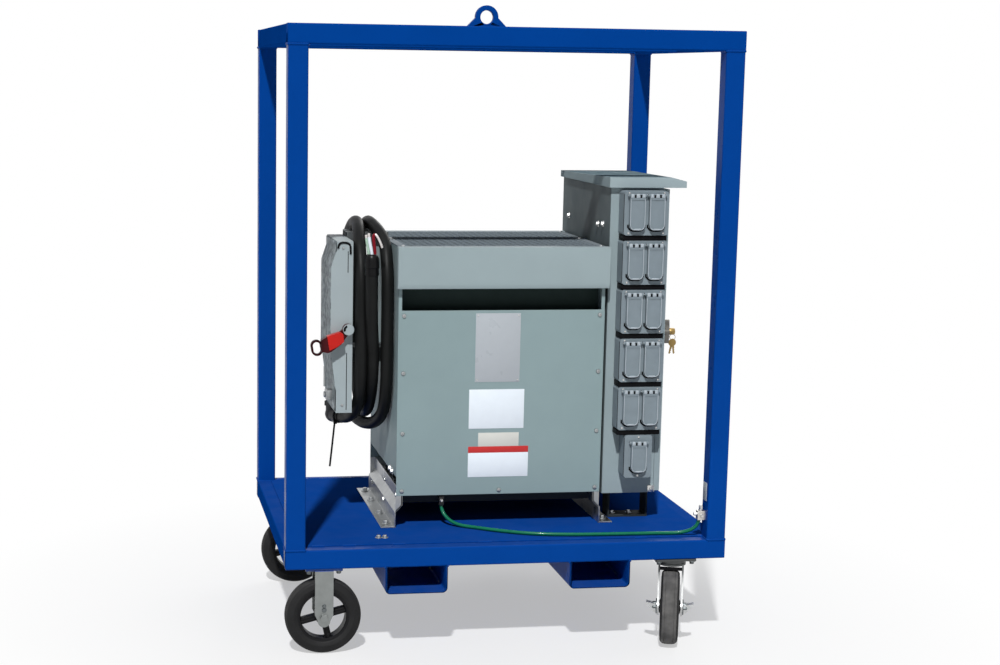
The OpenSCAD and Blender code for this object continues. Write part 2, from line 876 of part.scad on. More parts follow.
// Lever on its shaft: round hub, cranked shank, flared grip and an end loop, drawn along X from the hub
module switch_lever() {
  color("firebrick")
    translate([lever_x, lever_y, lever_z]) rotate([90, 0, 0])
      union() {
        cylinder(h = boss_t, r = boss_r, $fn = fine);
        translate([0, 0, -lever_shaft_l])
          cylinder(h = lever_shaft_l + overrun, r = lever_shaft_r, $fn = fine);
        rotate(180 + lever_dip) translate([0, 0, boss_t - lever_t - lever_sink]) {
          linear_extrude(lever_t)
            difference() {
              union() {
                polygon(lever_l * lever_shank_shares);
                translate([lever_l, 0]) rotate(lever_loop_turn) loop_outline(lever_loop_r, lever_loop_l);
              }
              translate([lever_l, 0]) rotate(lever_loop_turn) loop_outline(lever_hole_r, lever_loop_l);
            }
          linear_extrude(lever_grip_t)
            difference() {
              polygon(lever_l * lever_grip_shares);
              translate([lever_l, 0]) rotate(lever_loop_turn) loop_outline(lever_hole_r, lever_loop_l);
            }
        }
      }
}

module cable_gland() {
  turn = atan2(lead_dir.y, lead_dir.x);
  color("gray")
    union() {
      translate([gland_at.x, gland_at.y, gland_at.z])
        cylinder(h = switch_z0 - gland_at.z, r = gland_r, $fn = fine);
      translate([gland_at.x, gland_at.y, switch_z0 - gland_nut_t])
        cylinder(h = gland_nut_t, r = gland_nut_r, $fn = 6);
      translate(gland_at) sphere(r = gland_r + elbow_out, $fn = fine);
      translate(gland_at) rotate([0, 0, turn]) rotate([0, 90, 0])
        cylinder(h = gland_back, r = gland_r, $fn = fine);
    }
}

module feed_cable_lead() { color("black") swept_tube(lead_route, cable_r, cable_sides); }

module coil_outline(r) {
  union() {
    for (z = [0, coil_straight]) translate([0, z]) circle(r = r, $fn = 2 * fine);
    translate([-r, 0]) square([2 * r, coil_straight]);
  }
}

module feed_cable_coil() {
  color("black")
    translate([coil_x0, 0, coil_low_c]) rotate([90, 0, 90])
      linear_extrude(coil_x1 - coil_x0)
        difference() {
          coil_outline(coil_r + cable_r);
          coil_outline(coil_r - cable_r);
        }
}

// Distribution panel
module panel_supports() {
  leg_d = panel_w - 2 * stand_in;
  color("lightgray") {
    for (s = [-1, 1])
      translate([stand_x0, panel_front + panel_w / 2 + s * (leg_d - stand_w) / 2, deck_z])
        rotate([90, 0, 0])
          linear_extrude(stand_w, center = true)
            difference() {
              square([panel_x1 - stand_x0, panel_low]);
              translate([stand_t, stand_t])
                square([panel_x1 - stand_x0 - 2 * stand_t, panel_low - 2 * stand_t]);
            }
    for (s = [-1, 1])
      translate([case_x1, panel_front + panel_w / 2 + s * (panel_w / 2 - spacer_in), case_z1 - spacer_drop])
        rotate([0, 90, 0]) cylinder(h = panel_gap, r = spacer_r, $fn = fine);
  }
}

module panel_back() {
  color("lightslategray")
    translate([panel_x0, panel_front, panel_z0]) cube([sheet_t, panel_w, panel_h]);
}

// Front and rear walls; the rear one carries the lower halves of the door's lift-off hinges
module panel_side_walls() {
  depth = panel_depth - sheet_t;
  color("lightslategray") {
    translate([panel_x0 + sheet_t, panel_front, panel_z0]) cube([depth, sheet_t, panel_h]);
    union() {
      translate([panel_x0 + sheet_t, panel_y1 - sheet_t, panel_z0]) cube([depth, sheet_t, panel_h]);
      for (z = [panel_z0 + hinge_in, panel_z1 - hinge_in])
        translate([0, 0, z - hinge_l / 2])
          union() {
            translate([panel_x1 - hinge_leaf, panel_y1, 0])
              cube([hinge_x - panel_x1 + hinge_leaf, hinge_y - panel_y1, hinge_l / 2 - seat_gap]);
            translate([hinge_x, hinge_y, 0]) cylinder(h = hinge_l / 2 - seat_gap, r = hinge_r, $fn = fine);
            translate([hinge_x, hinge_y, 0]) cylinder(h = hinge_l - hinge_r, r = hinge_pin_r, $fn = fine);
          }
    }
  }
}

module panel_end_walls() {
  color("lightslategray")
    for (z = [panel_z0, panel_z1 - sheet_t])
      translate([panel_x0 + sheet_t, panel_front + sheet_t, z])
        cube([panel_depth - sheet_t, panel_w - 2 * sheet_t, sheet_t]);
}

module panel_cap() {
  cap_w = door_x1 - panel_x0 + cap_over + cap_side;
  cap_d = panel_w + 2 * cap_front;
  color("lightslategray")
    translate([panel_x0 - cap_side, panel_front + panel_w / 2, panel_z1]) rotate([90, 0, 0])
      intersection() {
        linear_extrude(cap_d, center = true)
          polygon([
            [0, 0], [cap_w, 0], [cap_w, cap_end_h], [cap_w * cap_flat_share, cap_h], [0, cap_h]
          ]);
        rotate([0, 90, 0])
          linear_extrude(cap_w)
            polygon([
              [-cap_d / 2, 0], [cap_d / 2, 0], [cap_d / 2, cap_back_h], [-cap_d / 2, cap_h]
            ]);
      }
}

module panel_door() {
  door_w = panel_w - door_edge;
  door_h = panel_h - 2 * door_clear;
  color("lightslategray")
    union() {
      difference() {
        translate([door_x0, panel_front, panel_z0 + door_clear]) cube([door_t, door_w, door_h]);
        translate([door_x0 - overrun, panel_front + door_edge, panel_z0 + door_clear + door_edge])
          cube([door_t - door_edge + overrun, door_w - 2 * door_edge, door_h - 2 * door_edge]);
        translate([door_x0, panel_front + handle_in, handle_z]) rotate([0, 90, 0])
          cylinder(h = door_t + overrun, r = handle_r + run_fit, $fn = fine);
      }
      for (z = [panel_z0 + hinge_in, panel_z1 - hinge_in])
        difference() {
          union() {
            translate([hinge_x, hinge_y, z]) cylinder(h = hinge_l / 2, r = hinge_r, $fn = fine);
            translate([door_x1 - door_edge, panel_y1 - hinge_leaf, z])
              cube([door_edge + hinge_out, hinge_y - panel_y1 + hinge_leaf, hinge_l / 2]);
          }
          translate([hinge_x, hinge_y, z - overrun])
            cylinder(h = hinge_l / 2 - hinge_r + overrun + seat_gap, r = hinge_pin_r + run_fit, $fn = fine);
        }
    }
}

// Turning handle with its lock cylinder outside and its latch inside the door
module door_handle() {
  latch_x = door_x1 - door_edge - latch_gap - latch_t;
  color("dimgray")
    translate([0, panel_front + handle_in, handle_z])
      union() {
        translate([latch_x, 0, 0]) rotate([0, 90, 0])
          cylinder(h = door_x1 - latch_x + handle_stem, r = handle_r, $fn = fine);
        translate([latch_x, 0, 0]) rotate([0, 90, 0]) cylinder(h = latch_t, r = latch_r, $fn = fine);
        translate([door_x1 + handle_stem - grip_t / 2, 0, 0])
          rotate([90, 0, 0]) rotate([0, 90, 0])
            linear_extrude(grip_t, center = true)
              union() {
                polygon([
                  [-grip_w / 2, 0], [-grip_end_r, grip_l / 2 - grip_end_r],
                  [grip_end_r, grip_l / 2 - grip_end_r], [grip_w / 2, 0],
                  [grip_end_r, grip_end_r - grip_l / 2], [-grip_end_r, grip_end_r - grip_l / 2]
                ]);
                for (s = [-1, 1])
                  translate([0, s * (grip_l / 2 - grip_end_r)]) circle(r = grip_end_r, $fn = fine);
              }
        translate([door_x1 + handle_stem - overrun, 0, 0]) rotate([0, 90, 0])
          cylinder(h = lock_l + overrun, r = lock_r, $fn = fine);
      }
}

module dead_front() {
  window = [2 * breaker_w + breaker_column_gap, breaker_rows * (breaker_h + breaker_gap)];
  color("gainsboro")
    translate([panel_x0 + dead_depth, panel_front + sheet_t, panel_z0 + sheet_t])
      difference() {
        cube([sheet_t, panel_w - 2 * sheet_t, panel_h - 2 * sheet_t]);
        translate([-overrun, panel_w / 2 - sheet_t - window.x / 2, panel_h / 2 - sheet_t - window.y / 2])
          cube([sheet_t + 2 * overrun, window.x, window.y]);
      }
}

module breakers() {
  pitch = breaker_h + breaker_gap;
  deep = dead_depth - sheet_t;
  color("black")
    translate([panel_x0 + sheet_t, panel_front + panel_w / 2, panel_z0 + panel_h / 2])
      for (s = [-1, 1], k = [0 : breaker_rows - 1])
        translate([
          0,
          s * (breaker_w + breaker_column_gap) / 2 - breaker_w / 2,
          (k - breaker_rows / 2) * pitch + breaker_gap / 2
        ])
          cube([deep + breaker_out, breaker_w, breaker_h]);
}

function gang_z(k) = gang_top - k * gang_pitch;

// Deep box, open towards its plate
module gang_box(w, k) {
  translate([gang_x, panel_front, gang_z(k) - gang_h / 2]) rotate([90, 0, 0])
    difference() {
      linear_extrude(gang_out) round_square([w, gang_h], gang_r);
      translate([0, 0, gang_wall])
        linear_extrude(gang_out)
          round_square([w - 2 * gang_wall, gang_h - 2 * gang_wall], gang_r - gang_wall);
    }
}

module receptacle_boxes() {
  color("gray") {
    for (k = [0 : gang_rows - 1]) gang_box(gang_w, k);
    gang_box(single_w, gang_rows);
  }
}

function is_single(k) = k == gang_rows;
function hinge_pin_z(k) = gang_z(k) - lid_drop + barrel_r - (is_single(k) ? single_drop : 0);
function lid_len(k) = is_single(k) ? single_lid_h : lid_h;
function lid_spots(k) = is_single(k) ? [0] : [-lid_x, lid_x];

// Plate with an opening for each outlet and the ears and pins that carry its lids
module gang_plate(w, k) {
  union() {
    difference() {
      translate([gang_x, panel_front - gang_out, gang_z(k) - gang_h / 2]) rotate([90, 0, 0])
        linear_extrude(plate_t) round_square([w, gang_h], gang_r);
      for (x = lid_spots(k))
        translate([gang_x + x, plate_y - overrun, hinge_pin_z(k) - outlet_low]) rotate([-90, 0, 0])
          cylinder(h = plate_t + 2 * overrun, r = outlet_r + outlet_fit, $fn = fine);
    }
    for (x = lid_spots(k))
      translate([gang_x + x, 0, hinge_pin_z(k)])
        union() {
          for (s = [-1, 1])
            translate([s * (lid_w / 2 + ear_gap + ear_w / 2), pin_y, 0])
              union() {
                translate([-ear_w / 2, 0, -barrel_r]) cube([ear_w, pin_out + overrun, 2 * barrel_r]);
                rotate([0, 90, 0]) cylinder(h = ear_w, r = barrel_r, center = true, $fn = fine);
              }
          translate([0, pin_y, 0]) rotate([0, 90, 0])
            cylinder(h = lid_w + 2 * ear_gap + 2 * ear_w, r = pin_r, center = true, $fn = fine);
        }
  }
}

module receptacle_plates() {
  color("darkgray") {
    for (k = [0 : gang_rows - 1]) gang_plate(gang_w, k);
    gang_plate(single_w, gang_rows);
  }
}

// Outlet behind its plate, with its face in the plate's opening
module outlet() {
  rotate([90, 0, 0])
    difference() {
      union() {
        translate([0, 0, -outlet_back]) cylinder(h = outlet_back + plate_t, r = outlet_r, $fn = fine);
        translate([0, 0, -outlet_rim_t]) cylinder(h = outlet_rim_t, r = outlet_rim_r, $fn = fine);
      }
      translate([0, 0, plate_t - outlet_slot_deep])
        linear_extrude(outlet_slot_deep + overrun)
          union() {
            for (s = [-1, 1]) translate([s * outlet_slot_x, 0]) square(outlet_slot, center = true);
            translate([0, -outlet_pin_drop]) circle(r = outlet_pin_r, $fn = fine / 2);
          }
    }
}

module outlets() {
  color("black")
    for (k = [0 : gang_rows], x = lid_spots(k))
      translate([gang_x + x, panel_front - gang_out, hinge_pin_z(k) - outlet_low]) outlet();
}

// Round-bottomed outline that hangs down from its own origin
module lid_outline(w, h, r) {
  union() {
    translate([-w / 2, -h + r]) square([w, h - r]);
    translate([-w / 2 + r, -h]) square([w - 2 * r, r]);
    for (s = [-1, 1]) translate([s * (w / 2 - r), -h + r]) circle(r = r, $fn = fine);
  }
}

// Flip lid with a raised rim and a round lower end, hung on its pin
module lid(k, x) {
  h = lid_len(k);
  color("darkgray")
    translate([gang_x + x, pin_y, hinge_pin_z(k)])
      difference() {
        union() {
          rotate([0, 90, 0]) cylinder(h = lid_w, r = barrel_r, center = true, $fn = fine);
          translate([0, pin_out - lid_gap, 0]) rotate([90, 0, 0])
            linear_extrude(lid_t) lid_outline(lid_w, h, lid_r);
        }
        translate([0, pin_out - lid_gap - lid_t + lid_recess, -lid_top_rim]) rotate([90, 0, 0])
          linear_extrude(lid_recess + overrun)
            lid_outline(lid_w - 2 * lid_rim, h - lid_top_rim - lid_rim, lid_r - lid_rim);
        rotate([0, 90, 0])
          cylinder(h = lid_w + 2 * overrun, r = pin_r + run_fit, center = true, $fn = fine);
      }
}

module lid_1_left() { lid(0, -lid_x); }
module lid_1_right() { lid(0, lid_x); }
module lid_2_left() { lid(1, -lid_x); }
module lid_2_right() { lid(1, lid_x); }
module lid_3_left() { lid(2, -lid_x); }
module lid_3_right() { lid(2, lid_x); }
module lid_4_left() { lid(3, -lid_x); }
module lid_4_right() { lid(3, lid_x); }
module lid_5_left() { lid(4, -lid_x); }
module lid_5_right() { lid(4, lid_x); }
module lid_6() { lid(gang_rows, 0); }

// Ground wire
module ground_lugs() {
  first = wire_route[0];
  last = wire_route[len(wire_route) - 1];
  base_y = case_y0 + angle_y;
  post_in = half_w - tube_w;
  color("goldenrod") {
    translate([first.x - lug_block.x / 2, base_y - base_lug_l, first.z])
      cube([lug_block.x, base_lug_l, lug_block.z]);
    translate([post_in - post_lug_l, last.y - lug_block.y / 2, last.z])
      cube([post_lug_l, lug_block.y, lug_block.z]);
  }
}

module ground_wire() { color("green") swept_tube(wire_route, wire_d / 2, wire_sides); }

base_long_rails();
base_cross_rails();
deck_plate();
corner_posts();
top_long_rails();
top_side_rails();
lift_beam();
lifting_lug();
fork_pockets();
rigid_caster_forks();
rigid_wheel_front();
rigid_wheel_rear();
swivel_plates();
swivel_fork_front();
swivel_fork_rear();
swivel_wheel_front();
swivel_wheel_rear();
case_feet();
case_base_angles();
core();
core_clamps();
core_coils();
case_side_walls();
case_front_panel();
case_back_panel();
vent_hoods();
top_grille();
switch_arms();
switch_box();
switch_cover();
switch_lever();
cable_gland();
feed_cable_lead();
feed_cable_coil();
panel_supports();
panel_back();
panel_side_walls();
panel_end_walls();
panel_cap();
panel_door();
door_handle();
dead_front();
breakers();
receptacle_boxes();
receptacle_plates();
outlets();
lid_1_left();
lid_1_right();
lid_2_left();
lid_2_right();
lid_3_left();
lid_3_right();
lid_4_left();
lid_4_right();
lid_5_left();
lid_5_right();
lid_6();
ground_lugs();
ground_wire();
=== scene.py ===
"""Looks of a portable power transformer on a wheeled lifting cage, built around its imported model.

Lengths are in metres, in the model's own frame: +Z up, the front towards -Y, the floor at Z = 0.
"""
import json
import math

import bmesh
import bpy
from mathutils import Matrix, Vector


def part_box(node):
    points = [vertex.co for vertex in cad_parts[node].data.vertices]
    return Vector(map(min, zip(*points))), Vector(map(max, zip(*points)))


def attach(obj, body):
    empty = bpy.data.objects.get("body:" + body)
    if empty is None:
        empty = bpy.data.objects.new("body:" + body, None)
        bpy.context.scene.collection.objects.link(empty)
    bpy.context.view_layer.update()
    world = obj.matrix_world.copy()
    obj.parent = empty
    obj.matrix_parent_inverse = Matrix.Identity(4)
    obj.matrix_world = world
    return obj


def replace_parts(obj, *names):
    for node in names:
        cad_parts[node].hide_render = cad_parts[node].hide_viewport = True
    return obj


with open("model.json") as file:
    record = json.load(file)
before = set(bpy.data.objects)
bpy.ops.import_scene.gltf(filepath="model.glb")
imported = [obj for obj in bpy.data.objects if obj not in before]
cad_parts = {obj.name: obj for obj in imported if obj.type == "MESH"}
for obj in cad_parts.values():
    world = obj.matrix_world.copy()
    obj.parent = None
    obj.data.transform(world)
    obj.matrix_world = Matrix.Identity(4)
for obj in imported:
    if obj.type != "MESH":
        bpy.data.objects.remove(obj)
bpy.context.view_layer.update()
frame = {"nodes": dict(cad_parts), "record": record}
NODES = frame["nodes"]
BODIES = frame["record"]["behaviour"]["bodies"]
BODY_OF = {node: body for body, members in BODIES.items() for node in members}
MM = 0.001
RIGHT, BACK, UP = Vector((1, 0, 0)), Vector((0, 1, 0)), Vector((0, 0, 1))
LEFT, FRONT, DOWN = -RIGHT, -BACK, -UP
SIDES = (-1, 1)
CORNERS = [(sx, sy) for sx in SIDES for sy in SIDES]


def mm(*values):
    """A point given in millimetres."""
    return Vector(values) * MM


def assign(thing, **values):
    for name, value in values.items():
        setattr(thing, name, value)
    return thing


def add(name, data):
    """A new object in the scene."""
    made = bpy.data.objects.new(name, data)
    bpy.context.scene.collection.objects.link(made)
    return made


def round_angles(count):
    return [2 * math.pi * k / count for k in range(count)]


# Camera at the photograph's view
PHOTO_WIDTH_PX = 1000.0
PHOTO_HEIGHT_PX = 665.0
FOCAL_PX = 1854.4
AXIS_PX = (399.8, 370.1)
CAMERA_AT = mm(-1093.7, -5238.5, 1551.4)
CAMERA_YAW, CAMERA_PITCH, CAMERA_ROLL = 0.1626, -0.1584, 0.0144
SENSOR_MM = 36.0


def make_camera():
    level = math.cos(CAMERA_PITCH)
    ahead = Vector((math.sin(CAMERA_YAW) * level, math.cos(CAMERA_YAW) * level, math.sin(CAMERA_PITCH)))
    right = Vector((math.cos(CAMERA_YAW), -math.sin(CAMERA_YAW), 0))
    up = right.cross(ahead)
    tilt = Matrix.Rotation(-CAMERA_ROLL, 3, ahead)
    right, up = tilt @ right, tilt @ up
    data = assign(
        bpy.data.cameras.new("camera"),
        sensor_fit="HORIZONTAL",
        sensor_width=SENSOR_MM,
        lens=FOCAL_PX / PHOTO_WIDTH_PX * SENSOR_MM,
        shift_x=(PHOTO_WIDTH_PX / 2 - AXIS_PX[0]) / PHOTO_WIDTH_PX,
        shift_y=(AXIS_PX[1] - PHOTO_HEIGHT_PX / 2) / PHOTO_WIDTH_PX,
    )
    camera = add("camera", data)
    camera.matrix_world = Matrix.Translation(CAMERA_AT) @ Matrix((right, up, -ahead)).transposed().to_4x4()
    bpy.context.scene.camera = camera


make_camera()


# Procedural materials
class Nodes:
    """The nodes of a material or of the world."""

    def __init__(self, tree):
        self.nodes, self.links = tree.nodes, tree.links

    def feed(self, node, socket, value):
        """Sets an input to a constant, or links it to another node's output."""
        if isinstance(value, bpy.types.NodeSocket):
            self.links.new(value, node.inputs[socket])
        else:
            node.inputs[socket].default_value = value

    def node(self, kind, inputs=(), **settings):
        made = assign(self.nodes.new(kind), **settings)
        for socket, value in dict(inputs).items():
            self.feed(made, socket, value)
        return made

    def calc(self, operation, a, b):
        return self.node("ShaderNodeMath", {0: a, 1: b}, operation=operation).outputs["Value"]

    def seen_rays(self):
        """1 for what is looked at, also in a reflection, and 0 for light that falls on the part."""
        rays = self.node("ShaderNodeLightPath").outputs
        seen = self.calc("MAXIMUM", rays["Is Camera Ray"], rays["Is Glossy Ray"])
        return self.calc("MAXIMUM", seen, rays["Is Transmission Ray"])

    def blend(self, factor, a, b, output):
        """Mixes two shaders into the output."""
        mixed = self.node("ShaderNodeMixShader", {"Fac": factor, 1: a, 2: b})
        self.feed(self.nodes[output], "Surface", mixed.outputs["Shader"])


class Shader(Nodes):
    """A material whose textures lie in the piece's own space."""

    def __init__(self, name, color, metallic=0.0, roughness=0.5):
        self.material = bpy.data.materials.new(name)
        self.material.use_nodes = True
        super().__init__(self.material.node_tree)
        self.bsdf = self.nodes["Principled BSDF"]
        self.set("Base Color", (*color, 1.0)).set("Metallic", metallic).set("Roughness", roughness)
        self.coord = self.node("ShaderNodeTexCoord").outputs["Object"]

    def set(self, socket, value):
        self.feed(self.bsdf, socket, value)
        return self

    def noise(self, scale, detail, rough=0.55):
        grain = {"Scale": scale, "Detail": detail, "Roughness": rough}
        return self.node("ShaderNodeTexNoise", {"Vector": self.coord, **grain}).outputs["Fac"]

    def cells(self, scale):
        return self.node("ShaderNodeTexVoronoi", {"Vector": self.coord, "Scale": scale}).outputs["Color"]

    def span(self, value, low, high, to_low, to_high):
        limits = {"From Min": low, "From Max": high, "To Min": to_low, "To Max": to_high}
        return self.node("ShaderNodeMapRange", {"Value": value, **limits}).outputs["Result"]

    def times(self, a, b):
        return self.calc("MULTIPLY", a, b)

    def mix(self, factor, a, b):
        a, b = (v if isinstance(v, bpy.types.NodeSocket) else (*v, 1.0) for v in (a, b))
        return self.node("ShaderNodeMix", {"Factor": factor, 6: a, 7: b}, data_type="RGBA").outputs[2]

    def part(self, vector, axis):
        return self.node("ShaderNodeSeparateXYZ", {"Vector": vector}).outputs[axis]

    def normal(self):
        return self.node("ShaderNodeNewGeometry").outputs["Normal"]

    def edges(self, radius):
        """Nearly 1 along sharp edges and 0 on open faces."""
        bevel = self.node("ShaderNodeBevel", {"Radius": radius}, samples=4).outputs["Normal"]
        dot = self.node("ShaderNodeVectorMath", {0: bevel, 1: self.normal()}, operation="DOT_PRODUCT")
        return self.span(dot.outputs["Value"], 0.98, 0.85, 0.0, 1.0)

    def bump(self, height, strength, depth):
        made = self.node("ShaderNodeBump", {"Strength": strength, "Distance": depth, "Height": height})
        return self.set("Normal", made.outputs["Normal"])

    def rough(self, value, low, high):
        return self.set("Roughness", self.span(value, 0.3, 0.7, low, high))


PALE_DUST = (0.42, 0.4, 0.37)
WEAR_WIDTH = 0.0022


def shade(color, factor):
    return tuple(min(1.0, part * factor) for part in color)


def painted(
    name, color, roughness, peel_scale=420.0, peel=0.1,
    gloss=0.035, dust=0.05, dust_and_reflection_color=PALE_DUST, wear=None,
):
    """Sprayed or baked paint: orange peel, slow tone changes, a tint on what faces up, pale worn edges. The
    tint is pale dust on most paints and a painted dark reflection on the cap.
    """
    s = Shader(name, color, roughness=roughness)
    tone = s.mix(s.noise(6.0, 4.0), shade(color, 0.92), shade(color, 1.08))
    lies = s.span(s.part(s.normal(), "Z"), 0.55, 1.0, 0.0, 1.0)
    # What faces up takes the tint: pale dust on most paints, a painted dark reflection on the cap
    dust_and_reflection_mask = s.times(lies, s.span(s.noise(22.0, 5.0), 0.35, 0.75, dust, dust * 3))
    tone = s.mix(dust_and_reflection_mask, tone, dust_and_reflection_color)
    if wear:
        edge = s.times(s.edges(WEAR_WIDTH), s.span(s.noise(70.0, 4.0), 0.42, 0.62, 0.0, 0.75))
        tone = s.mix(edge, tone, wear)
    s.set("Base Color", tone)
    s.rough(s.noise(14.0, 4.0), roughness * 0.85, roughness * 1.2)
    s.set("Specular IOR Level", gloss)
    return s.bump(s.noise(peel_scale, 2.0), peel, 0.0005).material


def plated(name, color, roughness, scale=60.0):
    """Zinc or bare metal with a soft crystalline spangle and fine rub marks."""
    s = Shader(name, color, metallic=1.0, roughness=roughness)
    tone = s.mix(s.noise(9.0, 4.0), shade(color, 0.8), shade(color, 1.12))
    gray = s.node("ShaderNodeRGBToBW", {"Color": s.cells(scale)})
    s.set("Base Color", s.mix(s.span(gray.outputs["Val"], 0.0, 1.0, 0.0, 0.28), tone, shade(color, 0.72)))
    s.rough(s.noise(45.0, 5.0), roughness * 0.75, roughness * 1.35)
    return s.bump(s.noise(260.0, 3.0), 0.1, 0.0003).material


def caster_zinc(name, color, upper, low, high, metal_above, along="Z"):
    """Zinc whose tone changes along an axis: cage paint over the rigid forks' tops, painted shade over the
    swivel forks' tops and on the lug under the case, bright on the post's lug.
    """
    s = Shader(name, color, metallic=1.0, roughness=0.38)
    place = s.part(s.coord, along)
    share = s.span(place, low, high, 0.0, 1.0)
    tone = s.mix(s.noise(40.0, 5.0), shade(color, 0.78), shade(color, 1.15))
    s.set("Base Color", s.mix(share, tone, upper))
    s.set("Metallic", s.span(place, low, high, 1.0, metal_above))
    s.rough(s.noise(45.0, 5.0), 0.3, 0.48)
    return s.bump(s.noise(260.0, 3.0), 0.1, 0.0003).material


def rubber(name, color, roughness, scale, strength, dust=None, dusting=0.0):
    """Black rubber or cable jacket, with scuffs and a dusty bloom where it is worn."""
    s = Shader(name, color, roughness=roughness).set("Specular IOR Level", 0.12)
    tone = s.mix(s.noise(18.0, 5.0), shade(color, 0.75), shade(color, 1.5))
    if dust:
        tone = s.mix(s.span(s.noise(30.0, 6.0), 0.38, 0.68, dusting * 0.4, dusting), tone, dust)
    s.set("Base Color", tone)
    s.rough(s.noise(24.0, 4.0), roughness * 0.85, roughness * 1.15)
    return s.bump(s.noise(scale, 4.0), strength, 0.0006).material


def moulded(name, color, roughness, coat=0.0, gloss=0.14):
    """Plastic or cast surface with a fine grain."""
    s = Shader(name, color, roughness=roughness).set("Specular IOR Level", gloss)
    s.set("Base Color", s.mix(s.noise(30.0, 4.0), shade(color, 0.86), shade(color, 1.12)))
    s.rough(s.noise(60.0, 3.0), roughness * 0.85, roughness * 1.15)
    s.set("Coat Weight", coat).set("Coat Roughness", 0.1)
    return s.bump(s.noise(420.0, 3.0), 0.12, 0.0003).material


def printed(name, color, roughness):
    """A bare label or plate face."""
    s = Shader(name, color, roughness=roughness)
    s.set("Base Color", s.mix(s.noise(40.0, 5.0), shade(color, 0.95), shade(color, 1.03)))
    s.rough(s.noise(25.0, 3.0), roughness * 0.8, roughness * 1.2)
    return s.bump(s.noise(120.0, 2.0), 0.05, 0.0002).material


CAGE_COLOR = (0.001, 0.047, 0.262)
WORN_BLUE = (0.03, 0.1, 0.36)
CASE_COLOR = (0.245, 0.325, 0.335)
PANEL_COLOR = (0.29, 0.355, 0.372)
SWITCH_COLOR = (0.345, 0.4, 0.415)
CAST_COLOR = (0.205, 0.248, 0.275)

CAGE = painted("cage_enamel", CAGE_COLOR, 0.3, 190.0, gloss=0.02, dust=0.01, wear=WORN_BLUE)
DECK = painted("deck_enamel", CAGE_COLOR, 0.22, 190.0, gloss=0.0, dust=0.006, wear=WORN_BLUE)
RAIL = painted("rail_enamel", CAGE_COLOR, 0.3, 190.0, gloss=0.0, dust=0.01, wear=WORN_BLUE)
CASE = painted("case_paint", CASE_COLOR, 0.46)
# The hood has the case's paint made lighter: painted light on its tilted face
HOOD_LIT = painted("hood_lit_paint", (0.3, 0.368, 0.384), 0.46)
GRILLE = painted("grille_coat", (0.15, 0.18, 0.2), 0.5, dust=0.04)
PANEL = painted("panel_paint", PANEL_COLOR, 0.44)
# The panel's back, its side facing -X, has the panel's paint at 0.4 of its tone: painted shade
PANEL_BACK_SHADED = painted("panel_back_shaded_paint", shade(PANEL_COLOR, 0.4), 0.46, gloss=0.02)
# The cap's top is tinted dark where it faces up, dust=0.36 setting how much: a painted dark reflection
CAP_TOP_REFLECTION = (0.03, 0.072, 0.095)
CAP = painted("cap_paint", shade(PANEL_COLOR, 1.12), 0.4, gloss=0.0, dust=0.36, dust_and_reflection_color=CAP_TOP_REFLECTION)
SWITCH = painted("switch_paint", SWITCH_COLOR, 0.42, 380.0, 0.12, dust=0.08)
CAST = moulded("cast_coating", CAST_COLOR, 0.48)
ZINC = plated("zinc_plate", (0.4, 0.415, 0.42), 0.36)
RIGID_FORK = caster_zinc("rigid_fork_zinc", (0.27, 0.285, 0.28), CAGE_COLOR, 0.2322, 0.2328, 0.0)
# The swivel forks turn near black towards their tops under the rail: painted shade
SWIVEL_FORK = caster_zinc("swivel_fork_zinc_shaded_top", (0.6, 0.61, 0.61), (0.085, 0.09, 0.092), 0.165, 0.2, 1.0)
# The lug under the case, at X below 0, is near black: painted shade; the post's lug is bright
LUGS = caster_zinc("lug_metal_and_shade", (0.05, 0.05, 0.05), (0.62, 0.6, 0.57), 0.0, 0.2, 1.0, "X")
# Near black on the case's base angles and the panel's supports: painted shade under the case and the panel
UNDER_SHADE = painted("under_case_shade", (0.03, 0.036, 0.04), 0.55, 300.0, 0.15, gloss=0.02, dust=0.02)
HANDLE = plated("handle_cast", (0.21, 0.2, 0.18), 0.42, scale=120.0)
TIN = plated("tinned_strands", (0.8, 0.76, 0.74), 0.4, scale=400.0)
# Lighter than the cast coating, for the lids' knuckles, raised edges and thumb lips: painted highlight
CAST_HIGHLIGHT = moulded("cast_highlight", (0.4, 0.45, 0.485), 0.42)
SHADE = moulded("vent_shade", (0.032, 0.048, 0.046), 0.7, gloss=0.02)
DULL_ZINC = plated("dull_zinc", (0.16, 0.175, 0.18), 0.5)
STEEL = plated("bright_steel", (0.66, 0.66, 0.65), 0.26, scale=160.0)
BRASS = plated("brass", (0.38, 0.26, 0.1), 0.34, scale=150.0)
TYRE = rubber("tyre_rubber", (0.014, 0.014, 0.0145), 0.62, 260.0, 0.25)
TREAD = rubber(
    "tread_rubber", (0.04, 0.04, 0.041), 0.8, 160.0, 0.45, dust=(0.17, 0.165, 0.16), dusting=0.75
)
TREAD_DARK = rubber(
    "tread_dark", (0.012, 0.012, 0.0125), 0.72, 160.0, 0.45, dust=(0.1, 0.098, 0.095), dusting=0.3
)
WHEEL_CORE = moulded("wheel_core", (0.007, 0.007, 0.008), 0.42)
CABLE = rubber("cable_jacket", (0.0065, 0.007, 0.007), 0.48, 420.0, 0.18)
TAPE = moulded("tape", (0.004, 0.004, 0.0045), 0.34)
LEVER = moulded("lever_red", (0.49, 0.012, 0.008), 0.36, coat=0.08)
